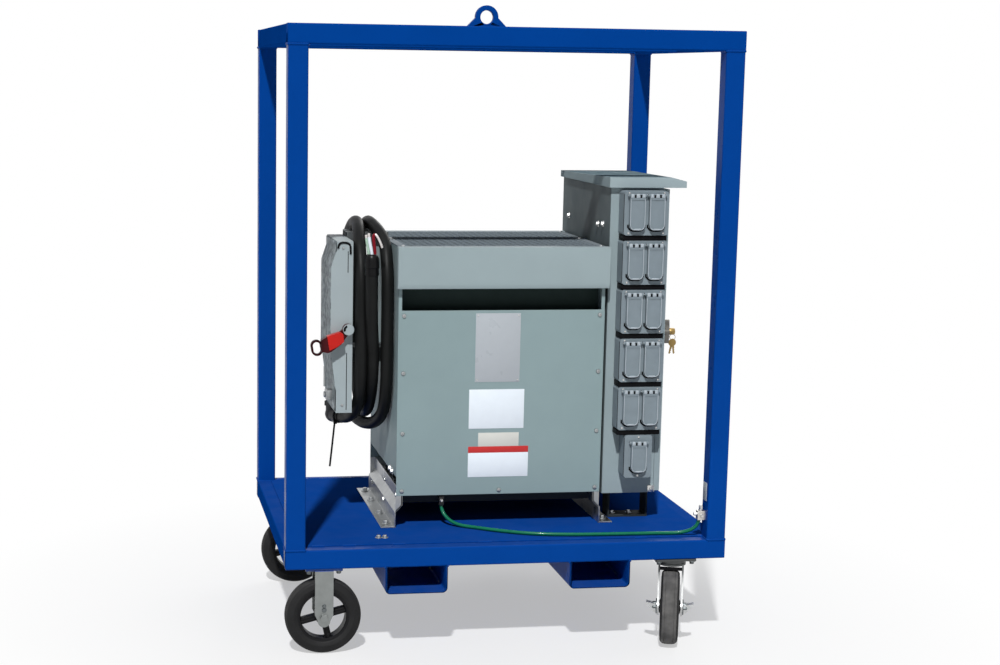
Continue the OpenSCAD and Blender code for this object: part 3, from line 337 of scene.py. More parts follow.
# The lever's own plate and ring: the red taken nearly black, painted shade
LEVER_SHADED = moulded("lever_red_shaded", (0.05, 0.003, 0.005), 0.42)
LEAD_RED = moulded("lead_red", (0.2, 0.006, 0.014), 0.34)
LEAD_GREEN = moulded("lead_pale_green", (0.38, 0.52, 0.42), 0.4)
WIRE = moulded("wire_green", (0.003, 0.15, 0.072), 0.3, coat=0.15)
CORE_STEEL = painted("core_varnish", (0.03, 0.038, 0.04), 0.55, 300.0, 0.2)
WINDING = moulded("winding_varnish", (0.12, 0.065, 0.03), 0.4, coat=0.3)
BLACK = moulded("breaker_black", (0.005, 0.005, 0.006), 0.5, gloss=0.06)
PALE = printed("dead_front_paint", (0.55, 0.57, 0.57), 0.5)
DARK = moulded("dark_casting", (0.035, 0.036, 0.04), 0.38)
PLATE_SILVER = printed("plate_silver", (0.39, 0.42, 0.45), 0.32)
LABEL_WHITE = printed("label_white", (0.74, 0.8, 0.86), 0.46)
LABEL_CREAM = printed("label_cream", (0.6, 0.6, 0.56), 0.46)
LABEL_RED = printed("label_red", (0.5, 0.016, 0.016), 0.44)


def embossed(name, color, roughness):
    """Thin formed sheet with a mottled, slightly uneven face, darkened to 0.3 to 0.95 of the paint's tone:
    real mottle and painted shade together.
    """
    s = Shader(name, color, roughness=roughness).set("Specular IOR Level", 0.03)
    mottle_and_shade = s.span(s.noise(48.0, 6.0, 0.68), 0.4, 0.6, 0.0, 1.0)
    s.set("Base Color", s.mix(mottle_and_shade, shade(color, 0.3), shade(color, 0.95)))
    s.rough(s.noise(40.0, 4.0), roughness * 0.7, roughness * 1.3)
    return s.bump(s.noise(30.0, 5.0), 0.5, 0.0022).material


# The switch's paint, darkened by the mottle: painted shade on the cover's side facing -X
COVER = embossed("cover_mottle_and_shade", SWITCH_COLOR, 0.4)


# Mesh building
BEND_ANGLE = math.radians(35)
STEEP = 0.95


class Build:
    """Collects shapes into one mesh piece."""

    def __init__(self):
        self.bm = bmesh.new()

    def _soften(self, verts, width):
        if width <= 0:
            return
        edges = {e for v in verts for e in v.link_edges}
        sharp = [e for e in edges if len(e.link_faces) == 2 and e.calc_face_angle(0.0) > BEND_ANGLE]
        bmesh.ops.bevel(
            self.bm, geom=sharp, offset=width, segments=2, profile=0.5, affect="EDGES", clamp_overlap=True
        )

    def box(self, low, high, soft=0.0, turn=None):
        low, high = Vector(low), Vector(high)
        place = Matrix.Translation((low + high) / 2) @ Matrix.Diagonal((*(high - low), 1.0))
        if turn is not None:
            place = turn @ place
        verts = bmesh.ops.create_cube(self.bm, size=1.0, matrix=place)["verts"]
        self._soften(verts, soft)
        return self

    def solid(self, outline, place, depth, soft=0.0):
        """An outline in the XY plane, drawn up by depth and put in place by a matrix."""
        verts = [self.bm.verts.new(place @ Vector((x, y, 0))) for x, y in outline]
        top = [self.bm.verts.new(place @ Vector((x, y, depth))) for x, y in outline]
        self.bm.faces.new(verts[::-1])
        self.bm.faces.new(top)
        for i in range(len(verts)):
            j = (i + 1) % len(verts)
            self.bm.faces.new((verts[i], verts[j], top[j], top[i]))
        self._soften(verts + top, soft)
        return self

    def _skin(self, rings, sides, closed):
        """Faces between rings of points, where a ring can be one point."""
        pairs = list(zip(rings, rings[1:]))
        if closed:
            pairs.append((rings[-1], rings[0]))
        for a, b in pairs:
            for k in range(sides):
                n = (k + 1) % sides
                loop = (a[k % len(a)], a[n % len(a)], b[n % len(b)], b[k % len(b)])
                corners = list(dict.fromkeys(loop))
                if len(corners) > 2:
                    self.bm.faces.new(corners)
        return self

    def lathe(self, profile, at, axis, sides, closed=False):
        """Turns (radius, height) points about an axis."""
        place = Matrix.Translation(at) @ Vector(axis).to_track_quat("Z", "Y").to_matrix().to_4x4()
        rings = []
        for radius, height in profile:
            angles = [2 * math.pi / sides * k for k in range(sides if radius else 1)]
            rings.append([
                self.bm.verts.new(place @ Vector((radius * math.cos(a), radius * math.sin(a), height)))
                for a in angles
            ])
        return self._skin(rings, sides, closed)

    def rod(self, start, end, radius, sides=16, soft=0.0):
        start, end = Vector(start), Vector(end)
        length = (end - start).length
        soft = min(soft, radius * 0.9, length * 0.45)
        profile = [
            (0, 0), (radius - soft, 0), (radius, soft),
            (radius, length - soft), (radius - soft, length), (0, length),
        ]
        return self.lathe(profile, start, end - start, sides)

    def bead(self, points, radius, sides, ripple=0.0, closed=False):
        """A tube along points, whose radius can ripple like a weld."""
        count = len(points)
        rings = []
        for i, p in enumerate(points):
            before = points[i - 1] if i or closed else points[0]
            after = points[(i + 1) % count] if i < count - 1 or closed else points[-1]
            ahead = (after - before).normalized()
            side = ahead.orthogonal() if abs(ahead.z) > STEEP else UP.cross(ahead)
            side.normalize()
            up = ahead.cross(side)
            r = radius * (1 + ripple * (1 if i % 2 else -1))
            rings.append([
                self.bm.verts.new(p + r * (math.cos(a) * side + math.sin(a) * up))
                for a in round_angles(sides)
            ])
        if not closed:
            self.bm.faces.new(rings[0][::-1])
            self.bm.faces.new(rings[-1])
        return self._skin(rings, sides, closed)

    def bolt(self, at, out, across, height, washer=1.6):
        """Hex head on a round washer, standing on a surface at a point."""
        out = Vector(out).normalized()
        r = across / 2
        at = Vector(at)
        thin = height * 0.22
        self.rod(at - out * 0.0004, at + out * thin, r * washer, 24, soft=thin * 0.4)
        head = [(0, thin * 0.5), (r, thin * 0.5), (r, height * 0.86), (r * 0.88, height), (0, height)]
        return self.lathe(head, at, out, 6)

    def screw(self, at, out, radius, height):
        """Low round head with a dimple."""
        shares = ((1, 0.35), (0.82, 0.8), (0.45, 1), (0.22, 0.98), (0.12, 0.5), (0, 0.45))
        head = [(radius * across, height * rise) for across, rise in shares]
        return self.lathe([(0, -0.0003), (radius, -0.0003), *head], at, out, 20)

    def done(self, name, material, slot, body="cart", sharp=38.0):
        """Turns what was built into a piece that rides on a body."""
        mesh = bpy.data.meshes.new(name)
        bmesh.ops.recalc_face_normals(self.bm, faces=self.bm.faces)
        self.bm.to_mesh(mesh)
        self.bm.free()
        mesh.shade_smooth()
        mesh.set_sharp_from_angle(angle=math.radians(sharp))
        mesh.materials.append(material)
        piece = add(name, mesh)
        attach(piece, body)
        return piece


def smooth_line(points, per_span):
    """Points of a smooth curve through given ones."""
    made = []
    for i in range(len(points) - 1):
        p0, p1 = points[max(i - 1, 0)], points[i]
        p2, p3 = points[i + 1], points[min(i + 2, len(points) - 1)]
        for k in range(per_span):
            t = k / per_span
            made.append(
                0.5 * (2 * p1 + (p2 - p0) * t + (2 * p0 - 5 * p1 + 4 * p2 - p3) * t ** 2
                       + (3 * p1 - p0 - 3 * p2 + p3) * t ** 3)
            )
    made.append(points[-1].copy())
    return made


def cord_piece(name, points, diameter, material):
    data = assign(
        bpy.data.curves.new(name, "CURVE"),
        dimensions="3D", bevel_depth=diameter / 2, bevel_resolution=6, use_fill_caps=True,
    )
    spline = data.splines.new("POLY")
    spline.points.add(len(points) - 1)
    for point, place in zip(spline.points, points):
        point.co = (*place, 1.0)
    spline.use_smooth = True
    data.materials.append(material)
    piece = add(name, data)
    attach(piece, "cart")
    return piece


# Feed cable: out of the gland, two full turns over the strut arms and a third rise to its taped end
CABLE_D = 0.035
COIL_RADIUS = 0.185
COIL_LOW, COIL_HIGH = 0.7375, 0.9485
ARC_STEPS, RUN_STEPS = 16, 6
# Each turn: its place in front, on top, behind and where it comes up next, and how far its low end is lifted
TURNS = (
    (-0.375, -0.366, -0.378, -0.302, 0.0),
    (-0.302, -0.33, -0.341, -0.341, 0.037),
)
LEAD_ROUTE = [
    mm(-412, -15, 575), mm(-404.5, -38, 576), mm(-397, -62, 580.5), mm(-390.5, -84, 588),
    mm(-385, -105, 598.6), mm(-381, -124, 612), mm(-378, -141, 628), mm(-376, -155.5, 646),
    mm(-375, -167.5, 666), mm(-375, -176.5, 688), mm(-375, -182.3, 711), mm(-375, -185, 735),
]
END_ROUTE = [
    mm(-343, -192, 808), mm(-346, -199, 844), mm(-348.5, -206, 880), mm(-350, -211, 916),
    mm(-351, -214.5, 951), mm(-351.5, -216.5, 985), mm(-352, -217.5, 1012), mm(-352, -218, 1035),
]
# Where on a half turn the cable shifts sideways: start and length, as shares
SHIFT_FRONT, SHIFT_BACK, SHIFT_LOW = (0.22, 0.28), (0.5, 0.5), (0.2, 0.6)
LEAD_R, TIP_R, LEAD_START, LEAD_STEPS = 0.0046, 0.0036, 0.018, 6
CABLE_END_AHEAD = (END_ROUTE[-1] - END_ROUTE[-2]).normalized()
# The tape round the cable's end: how far it stands proud, and where along the end
TAPE_WRAP = (
    (0.0014, -0.032), (0.0028, -0.029), (0.002, -0.012), (0.0036, -0.01),
    (0.003, 0.008), (0.002, 0.016), (-0.001, 0.023), (-0.005, 0.027),
)
# Each conductor: name, material, start across the end, its turns and its stripped end, in millimetres
CONDUCTORS = (
    ("lead_white", LABEL_WHITE, (0, -6), ((-3, -1, 20), (-7, 0, 40), (-9, 1, 56)), ((-10, 1, 66),)),
    ("lead_pale_green", LEAD_GREEN, (-8, 2), ((-2, 0, 20), (-5, 1, 40), (-7, 2, 52)), ((-8, 2, 61),)),
    ("lead_red", LEAD_RED, (8, -2), ((-1, -1, 20), (-4, -2, 42), (-5, -4, 57), (-1, -6, 63)),
     ((5, -7, 57), (11, -7, 46), (19, -7, 27))),
)


def shifted(share, span):
    """How much of a smooth shift is done at a share of the half turn."""
    value = min(1.0, max(0.0, (share - span[0]) / span[1]))
    return value * value * (3 - 2 * value)


def straight(x, y, start, end):
    """Points inside a straight run, as far apart as those of the round ends."""
    return [Vector((x, y, start + (end - start) * k / RUN_STEPS)) for k in range(1, RUN_STEPS)]


def coil_route():
    """Up in front, over the top, down behind and back underneath to the next place."""
    made = []
    for front, top, back, following, lift in TURNS:
        made += straight(front, -COIL_RADIUS, COIL_LOW, COIL_HIGH)
        for k in range(ARC_STEPS + 1):
            share = k / ARC_STEPS
            x = front + (top - front) * shifted(share, SHIFT_FRONT)
            x += (back - top) * shifted(share, SHIFT_BACK)
            a = math.pi * share
            made.append(Vector((x, -COIL_RADIUS * math.cos(a), COIL_HIGH + COIL_RADIUS * math.sin(a))))
        low = COIL_LOW + lift
        made += straight(back, COIL_RADIUS, COIL_HIGH, low)
        for k in range(ARC_STEPS + 1):
            share = k / ARC_STEPS
            x = back + (following - back) * shifted(share, SHIFT_LOW)
            a = math.pi * share
            made.append(Vector((x, COIL_RADIUS * math.cos(a), low - COIL_RADIUS * math.sin(a))))
    return made


def make_feed_cable():
    points = smooth_line(LEAD_ROUTE + coil_route() + END_ROUTE, 4)
    cable = cord_piece("feed_cable", points, CABLE_D, CABLE)
    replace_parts(cable, "feed_cable_lead", "feed_cable_coil")
    end, ahead = points[-1], CABLE_END_AHEAD
    wrap = [(CABLE_D / 2 + proud, height) for proud, height in TAPE_WRAP]
    tape = Build().lathe([(0, wrap[0][1]), *wrap, (0, wrap[-1][1])], end, ahead, 28)
    ends = [tape.done("cable_tape", TAPE, "cable_black")]
    for name, material, (dx, dy), turns, bare in CONDUCTORS:
        base = end + ahead * LEAD_START + mm(dx, dy, 0)
        path = smooth_line([base] + [base + mm(*turn) for turn in turns + bare], LEAD_STEPS)
        split = LEAD_STEPS * len(turns)
        wire = Build().bead(path[:split + 1], LEAD_R, 12)
        tip = Build().bead(path[split:], TIP_R, 12, ripple=0.05)
        ends += [wire.done(name, material, "cable_black"),
                 tip.done(name + "_tip", TIN, "ground_brass")]


WIRE_D = 0.01
WIRE_ROUTE = [
    mm(-145, -208, 350), mm(-143, -211, 338), mm(-136, -221, 323), mm(-120, -239, 309), mm(-95, -260, 302),
    mm(-60, -284, 301), mm(-10, -320, 301), mm(54, -357, 301), mm(120, -379, 301), mm(200, -391, 301),
    mm(280, -396, 301), mm(360, -398, 301), mm(430, -400, 301), mm(472, -403, 301), mm(500, -408, 304),
    mm(522, -416, 312), mm(536, -424, 326), mm(541, -430, 344),
]


def make_ground_wire():
    points = smooth_line(WIRE_ROUTE, 5)
    wire = cord_piece("green_wire", points, WIRE_D, WIRE)
    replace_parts(wire, "ground_wire")


make_feed_cable()
make_ground_wire()


# Model nodes that show as they are: material, softness of the edges in metres, and names
FINISH = (
    (CAGE, 0.0, ("base_long_rails", "corner_posts", "fork_pockets")),
    (CAGE, 0.002, ("lifting_lug",)),
    (RAIL, 0.0, ("base_cross_rails", "top_long_rails", "top_side_rails", "lift_beam")),
    (DECK, 0.0008, ("deck_plate",)),
    (DULL_ZINC, 0.0006, ("switch_arms",)),
    (CAP, 0.0012, ("panel_cap",)),
    (RIGID_FORK, 0.0008, ("rigid_caster_forks",)),
    (SWIVEL_FORK, 0.0008, ("swivel_plates", "swivel_fork_front", "swivel_fork_rear")),
    (ZINC, 0.0008, ("case_feet",)),
    (UNDER_SHADE, 0.0008, ("case_base_angles", "panel_supports")),
    (CORE_STEEL, 0.0012, ("core", "core_clamps")),
    (WINDING, 0.003, ("core_coils",)),
    (CASE, 0.0007, ("case_side_walls", "case_front_panel", "case_back_panel")),
    (HOOD_LIT, 0.0007, ("vent_hoods",)),
    (GRILLE, 0.0, ("top_grille",)),
    (SWITCH, 0.003, ("switch_box",)),
    (COVER, 0.004, ("switch_cover",)),
    (LEVER_SHADED, 0.0018, ("switch_lever",)),
    (DARK, 0.0015, ("cable_gland",)),
    (HANDLE, 0.0015, ("door_handle",)),
    (PANEL_BACK_SHADED, 0.0012, ("panel_back",)),
    (PANEL, 0.0012, ("panel_side_walls", "panel_end_walls", "panel_door")),
    (PALE, 0.0006, ("dead_front",)),
    (BLACK, 0.0012, ("breakers", "outlets")),
    (CAST, 0.0012, ("receptacle_boxes", "receptacle_plates")),
    (LUGS, 0.001, ("ground_lugs",)),
    (TYRE, 0.001, ("rigid_wheel_front", "rigid_wheel_rear", "swivel_wheel_front", "swivel_wheel_rear")),
    (CAST, 0.0015, [name for name in NODES if name.startswith("lid_")]),
)
WELD_GAP = 0.00002
SOFT_ANGLE = math.radians(40)


def finish_node(name, material, soft):
    node = NODES[name]
    mesh = node.data
    mesh.materials.clear()
    mesh.materials.append(material)
    mesh.shade_smooth()
    assign(node.modifiers.new("weld", "WELD"), merge_threshold=WELD_GAP)
    if soft:
        assign(
            node.modifiers.new("soft_edges", "BEVEL"),
            width=soft, segments=2, limit_method="ANGLE", angle_limit=SOFT_ANGLE, harden_normals=True,
        )
    assign(node.modifiers.new("normals", "WEIGHTED_NORMAL"), keep_sharp=True)


for coat, softness, node_names in FINISH:
    for node_name in node_names:
        finish_node(node_name, coat, softness)


# Places shared with the model
DECK_Z = 0.2953
FRAME_HALF = (0.6096, 0.4572)
TUBE = 0.053
POST_XY = (FRAME_HALF[0] - TUBE / 2, FRAME_HALF[1] - TUBE / 2)
BASE_TOP, TOP_LOW, FRAME_TOP, RIDE_Z = 0.2921, 1.6234, 1.6764, 0.2391
CASE_X, CASE_Y, CASE_TOP = (-0.2805, 0.3045), (-0.247, 0.253), 1.0853
PANEL_LEFT = 0.3145
DOOR_OUT = 0.4855
PLATE_Y = -0.286
SWITCH_FRONT = -0.18


def basis(at, out, side):
    """A matrix whose Z axis points out and whose X axis points to the side."""
    out, side = Vector(out).normalized(), Vector(side).normalized()
    turn = Matrix((side, out.cross(side), out)).transposed().to_4x4()
    return Matrix.Translation(at) @ turn


# Cage
WELD_R = 0.0034
WELD_STEP = 0.0035
STITCH_X = (-0.518, -0.434, -0.298, -0.06, 0.195, 0.38, 0.56)
STITCH_L = 0.034
LUG_HALF = (0.066, 0.0105)
POCKET_EDGES_X = (-0.3405, -0.1695, 0.1695, 0.3405)
DECK_EDGE = FRAME_HALF[1] - 0.04


def weld(build, corners, closed=False):
    """A rippled bead along straight runs between corners."""
    stops = corners + corners[:1] if closed else corners
    points = []
    for a, b in zip(stops, stops[1:]):
        steps = max(2, round((b - a).length / WELD_STEP) - 1)
        points += [a + (b - a) * (k / steps) for k in range(steps)]
    if not closed:
        points.append(corners[-1])
    build.bead(points, WELD_R, 8, ripple=0.16, closed=closed)


def make_welds():
    build = Build()
    h = TUBE / 2 - 0.001
    for sx, sy in CORNERS:
        x, y = sx * POST_XY[0], sy * POST_XY[1]
        for z in (BASE_TOP, TOP_LOW):
            ring = [Vector((x + a * h, y + b * h, z)) for a, b in ((-1, -1), (1, -1), (1, 1), (-1, 1))]
            weld(build, ring, closed=True)
    for side in SIDES:
        y = side * LUG_HALF[1]
        weld(build, [Vector((sx * LUG_HALF[0], y, FRAME_TOP)) for sx in SIDES])
        for x in STITCH_X:
            at = Vector((x, side * DECK_EDGE, BASE_TOP + 0.0012))
            weld(build, [at - RIGHT * STITCH_L / 2, at + RIGHT * STITCH_L / 2])
        for x in POCKET_EDGES_X:
            ends = (side * FRAME_HALF[1], side * (FRAME_HALF[1] - TUBE))
            weld(build, [Vector((x, y, RIDE_Z)) for y in ends])
    build.done("cage_welds", CAGE, "cage_blue", sharp=60)


# Bolts: across the flats and height of the head
DECK_BOLT, FOOT_BOLT, WALL_BOLT = (0.012, 0.008), (0.014, 0.01), (0.013, 0.008)
DECK_BOLTS_AT = ((-0.344, -0.35), (-0.327, -0.352))
FOOT_BOLTS_X, FOOT_BOLTS_Y, FOOT_TOP = (-0.302, 0.326), (-0.205, -0.08, 0.086, 0.21), DECK_Z + 0.004
STAND_BOLTS_X, STAND_BOLTS_Y, STAND_TOP = (0.37, 0.42), (-0.15, 0.22), DECK_Z + 0.005
WALL_BOLTS_AT = (
    (-0.2805, 0.173, 0.334), (-0.2615, 0.054, 0.37), (-0.2805, -0.15, 0.447),
    (-0.2805, -0.186, 0.446), (-0.2805, -0.046, 0.333), (-0.2615, -0.156, 0.37),
)
POST_TAG = ((0.5554, -0.441, 0.398), (0.5568, -0.413, 0.449))
CASE_MID_X = 0.012
FOOT_ENDS_Y = (-0.2425, 0.251)
CASE_LOW = 0.0998
FOOT_END = [(0.2925, 0.045), (0.2925, CASE_LOW), (0.2735, CASE_LOW), (0.2735, 0.065)]


def make_cage_fixings():
    build = Build()
    for x, y in DECK_BOLTS_AT:
        build.bolt((x, y, DECK_Z), UP, *DECK_BOLT)
    for x in FOOT_BOLTS_X:
        for y in FOOT_BOLTS_Y:
            build.bolt((x, y, FOOT_TOP), UP, *FOOT_BOLT)
    for at in WALL_BOLTS_AT:
        build.bolt(at, LEFT, *WALL_BOLT)
    for x in STAND_BOLTS_X:
        for y in STAND_BOLTS_Y:
            build.bolt((x, y, STAND_TOP), UP, *DECK_BOLT)
    build.done("deck_bolts", ZINC, "zinc")
    ends = Build()
    for y in FOOT_ENDS_Y:
        for mirror in SIDES:
            place = Matrix.Translation((CASE_MID_X, y, DECK_Z)) @ Matrix.Rotation(math.radians(90), 4, "X")
            ends.solid([(mirror * x, z) for x, z in FOOT_END[::mirror]], place, 0.0025, soft=0.0004)
    ends.done("foot_end_plates", ZINC, "zinc")
    tag = Build().box(*POST_TAG, soft=0.0004)
    tag.done("post_tag", PLATE_SILVER, "zinc")


# Casters
def mirrored(half):
    """A profile from its lower half, whose last point can lie in the middle."""
    return half + [(radius, -height) for radius, height in reversed(half) if height]


TYRE_PROFILE = mirrored([
    (0.0695, -0.0212), (0.0735, -0.0244), (0.08, -0.0252), (0.0812, -0.0258), (0.0828, -0.0258),
    (0.084, -0.0252), (0.0925, -0.0248), (0.0975, -0.0222), (0.1005, -0.018),
])
TREAD_PROFILE = mirrored([
    (0.0985, -0.0205), (0.1012, -0.018), (0.1027, -0.0135), (0.1015, -0.0126), (0.103, -0.0117),
    (0.1035, 0.0),
])
RIM_PROFILE = mirrored([(0.062, -0.018), (0.064, -0.0205), (0.0702, -0.0215)])
HUB_PROFILE = mirrored([(0.0104, -0.0285), (0.017, -0.0285), (0.0205, -0.0265), (0.022, -0.021)])
BEARING_PROFILE = [(0.0104, 0.0284), (0.0104, 0.0291), (0.015, 0.0291), (0.0156, 0.0284)]
SPOKE_TURN = math.radians(14)
SPOKE = ((0.019, -0.0088, -0.012), (0.0645, 0.0088, 0.012))
SPOKE_RIB = ((0.018, -0.003, -0.017), (0.065, 0.003, 0.017))
AXLE_FACE, AXLE_R, AXLE_NUT = 0.0352, 0.0065, (0.027, 0.013)
AXLE_END = AXLE_FACE + 0.02
SWIVEL_ROLL = Vector((0.95106, -0.30902, 0))
WHEEL_AXES = {
    "rigid_wheel_front": FRONT, "rigid_wheel_rear": FRONT,
    "swivel_wheel_front": SWIVEL_ROLL, "swivel_wheel_rear": SWIVEL_ROLL,
}
RIGID_X, RIGID_Y, RIGID_HOLES = -0.505, (-0.418, 0.3), (0.04, 0.023)
SWIVEL_X, SWIVEL_Y, SWIVEL_HOLES = 0.472, (-0.412, 0.412), (0.047, 0.036)
CASTER_BOLT, CASTER_PAD_Z = (0.013, 0.009), RIDE_Z - 0.0064
LEG_FACE = 0.035
LEG_BOLTS = ((0.137, 0.009), (0.126, 0.011))
BRAKE_TURNS = (("front", SWIVEL_Y[0], -18), ("rear", SWIVEL_Y[1], 162))
BRAKE_BAR = ((-0.0305, -0.052, 0.2095), (0.0305, -0.03, 0.2142))


def node_middle(node):
    low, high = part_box(node)
    return (Vector(low) + Vector(high)) / 2


def make_wheel(node, axis, side):
    body = BODY_OF[node]
    tread = TREAD if node.startswith("swivel") else TREAD_DARK
    at = node_middle(node)
    tyre = Build().lathe(TYRE_PROFILE, at, axis, 96, closed=True)
    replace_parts(tyre.done(node + "_tyre", TYRE, "wheel_black", body), node)
    band = Build().lathe(TREAD_PROFILE, at, axis, 96, closed=True)
    band.done(node + "_tread", tread, "wheel_black", body, sharp=70)
    core = Build().lathe(RIM_PROFILE, at, axis, 72, closed=True)
    core.lathe(HUB_PROFILE, at, axis, 40, closed=True)
    place = basis(at, axis, side)
    for k in range(4):
        turn = place @ Matrix.Rotation(SPOKE_TURN + k * math.pi / 2, 4, "Z")
        core.box(*SPOKE, soft=0.003, turn=turn)
        core.box(*SPOKE_RIB, soft=0.0015, turn=turn)
    core.done(node + "_core", WHEEL_CORE, "wheel_black", body)
    cap = Build()
    for end in SIDES:
        cap.lathe(BEARING_PROFILE, at, axis * end, 32)
    cap.done(node + "_bearing", STEEL, "zinc", body)


def make_casters():
    for node, axis in WHEEL_AXES.items():
        make_wheel(node, axis, RIGHT if axis is FRONT else axis.cross(UP))
    build = Build()
    for x, places, (dx, dy) in ((RIGID_X, RIGID_Y, RIGID_HOLES), (SWIVEL_X, SWIVEL_Y, SWIVEL_HOLES)):
        for y in places:
            for sx, sy in CORNERS:
                build.bolt((x + sx * dx, y + sy * dy, CASTER_PAD_Z), DOWN, *CASTER_BOLT)
    for y in RIGID_Y:
        for face in SIDES:
            for z, size in LEG_BOLTS:
                build.bolt((RIGID_X, y + face * LEG_FACE, z), (0, face, 0), size, 0.005, washer=1.25)
    build.done("caster_bolts", DULL_ZINC, "zinc")
    for name, y, turn in BRAKE_TURNS:
        place = Matrix.Translation((SWIVEL_X, y, 0)) @ Matrix.Rotation(math.radians(turn), 4, "Z")
        bar = Build().box(*BRAKE_BAR, soft=0.001, turn=place)
        bar.done("brake_bar_" + name, BLACK, "zinc", "swivel_" + name)
        at, nuts = node_middle("swivel_wheel_" + name), Build()
        for end in SIDES:
            out = SWIVEL_ROLL * end
            nuts.bolt(at + out * AXLE_FACE, out, *AXLE_NUT)
            nuts.rod(at + out * AXLE_FACE, at + out * AXLE_END, AXLE_R, soft=0.0015)
        nuts.done("axle_nuts_" + name, DULL_ZINC, "zinc", "swivel_" + name)


# Transformer
SCREW_X = (-0.265, 0.29)
SCREW_Z = (0.401, 0.564, 0.734, 0.894)
LABELS = (
    ("data_plate", PLATE_SILVER, (-0.063, 0.064), (0.707, 0.9)),
    ("white_label", LABEL_WHITE, (-0.078, 0.079), (0.575, 0.686)),
    ("small_label", LABEL_CREAM, (-0.05, 0.066), (0.524, 0.563)),
    ("low_label", LABEL_WHITE, (-0.078, 0.094), (0.437, 0.506)),
    ("low_label_band", LABEL_RED, (-0.078, 0.094), (0.506, 0.524)),
)
LABEL_T = 0.0007
CASE_SCREW, TOP_SCREW, RIVET = (0.0062, 0.0036), (0.0055, 0.0028), (0.0022, 0.0014)
LOW_SCREW_Z = 0.399
TOP_SCREWS_X, TOP_SCREWS_Y = (-0.268, 0.292), (-0.232, 0.003, 0.238)
# Near-black sheets behind the vent slots: painted shade in the slots
VENT_SHADE_SHEETS = (
    ((-0.272, -0.204, 0.88), (0.2965, -0.2, 1.01)),
    ((-0.272, 0.206, 0.88), (0.2965, 0.21, 1.01)),
)
RIVET_INSET = 0.006
MESH_CELL = (0.0392, 0.02)
MESH_ROWS, MESH_COLUMNS = 23, 14
MESH_R, MESH_LAP = 0.0021, 0.004


def make_case_fixings():
    build = Build()
    for y, out in ((CASE_Y[0], FRONT), (CASE_Y[1], BACK)):
        for x in SCREW_X:
            for z in SCREW_Z:
                build.screw((x, y, z), out, *CASE_SCREW)
        build.screw((CASE_MID_X, y, LOW_SCREW_Z), out, *CASE_SCREW)
    for x in TOP_SCREWS_X:
        for y in TOP_SCREWS_Y:
            build.screw((x, y, CASE_TOP), UP, *TOP_SCREW)
    build.done("case_screws", ZINC, "zinc")
    # The sheets behind the vents, near black: painted shade
    shade_sheets = Build()
    for low, high in VENT_SHADE_SHEETS:
        shade_sheets.box(low, high, soft=0.0006)
    shade_sheets.done("vent_shade_sheets", SHADE, "core_steel")


def make_labels():
    for name, material, (x0, x1), (z0, z1) in LABELS:
        y = CASE_Y[0]
        plate = Build().box((x0, y - LABEL_T, z0), (x1, y + 0.0002, z1), soft=0.0003)
        plate.done(name, material, "case_grey")
    rivets = Build()
    (x0, x1), (z0, z1) = LABELS[0][2:]
    for x in (x0 + RIVET_INSET, x1 - RIVET_INSET):
        for z in (z0 + RIVET_INSET, z1 - RIVET_INSET):
            rivets.screw((x, CASE_Y[0] - LABEL_T, z), FRONT, *RIVET)
    rivets.done("plate_rivets", STEEL, "zinc")


def make_grille():
    """Expanded metal: zigzag strands that meet in staggered diamonds, inside a flat edge."""
    mid = Vector((sum(CASE_X) / 2, sum(CASE_Y) / 2, CASE_TOP - 0.0024))
    inner = Vector((MESH_CELL[0] * MESH_COLUMNS / 2, MESH_CELL[1] * MESH_ROWS / 2))
    outer = Vector((CASE_X[1] - mid.x, CASE_Y[1] - 0.002 - mid.y))
    build = Build()
    for j in range(MESH_ROWS + 1):
        y = -inner.y + j * MESH_CELL[1]
        points = []
        for i in range(2 * MESH_COLUMNS + 1):
            lean = (1 if (i + j) % 2 else -1) * MESH_CELL[1] / 2
            points.append(mid + Vector((-inner.x + i * MESH_CELL[0] / 2, y + lean, 0)))
        build.bead(points, MESH_R, 4)
    low, high = CASE_TOP - 0.004, CASE_TOP
    for s in SIDES:
        ends = sorted((mid.y + s * (inner.y - MESH_LAP), mid.y + s * outer.y))
        build.box((mid.x - outer.x, ends[0], low), (mid.x + outer.x, ends[1], high), soft=0.0006)
        ends = sorted((mid.x + s * (inner.x - MESH_LAP), mid.x + s * outer.x))
        build.box((ends[0], mid.y - inner.y, low), (ends[1], mid.y + inner.y, high), soft=0.0006)
    grille = build.done("expanded_grille", GRILLE, "grille_steel")
    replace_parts(grille, "top_grille")


# Safety switch
LEVER_AT = Vector((-0.4125, -0.1803, 0.8503))
LEVER_DIP = math.radians(30)
LEVER_REACH = 0.101
LEVER_FACE = 0.0063
GRIP_SHARES = (
    (0.19, 0.015), (0.225, -0.064), (0.6, -0.15), (0.68, 0.05), (0.735, 0.22), (0.51, 0.24),
    (0.275, 0.21),
)
LEVER_HUB = [
    (0, 0.0198), (0.0152, 0.0198), (0.0156, 0.021), (0.0156, 0.0232), (0.0146, 0.0242), (0, 0.0244),
]
NOTCH_OUT, NOTCH_IN = 0.0142, 0.0082
NOTCH_ANGLES = [math.radians(a) for a in range(112, 206, 8)]
SEAMS = (((-0.4127, 1.007), (-0.4127, 1.066)), ((-0.4145, 0.622), (-0.4145, 0.783)))
COVER_FLANGE = ((-0.4405, 1.066), (-0.4445, 1.066), (-0.4592, 1.024), (-0.4592, 0.792), (-0.4445, 0.678),
                (-0.4405, 0.678))
# The black arc under the switch's top front edge: painted shadow
ARC_SHADOW = ((-0.4405, 1.074), (-0.4385, 1.084), (-0.431, 1.0895), (-0.419, 1.0895), (-0.4105, 1.086),
           (-0.4065, 1.078), (-0.4055, 1.058))


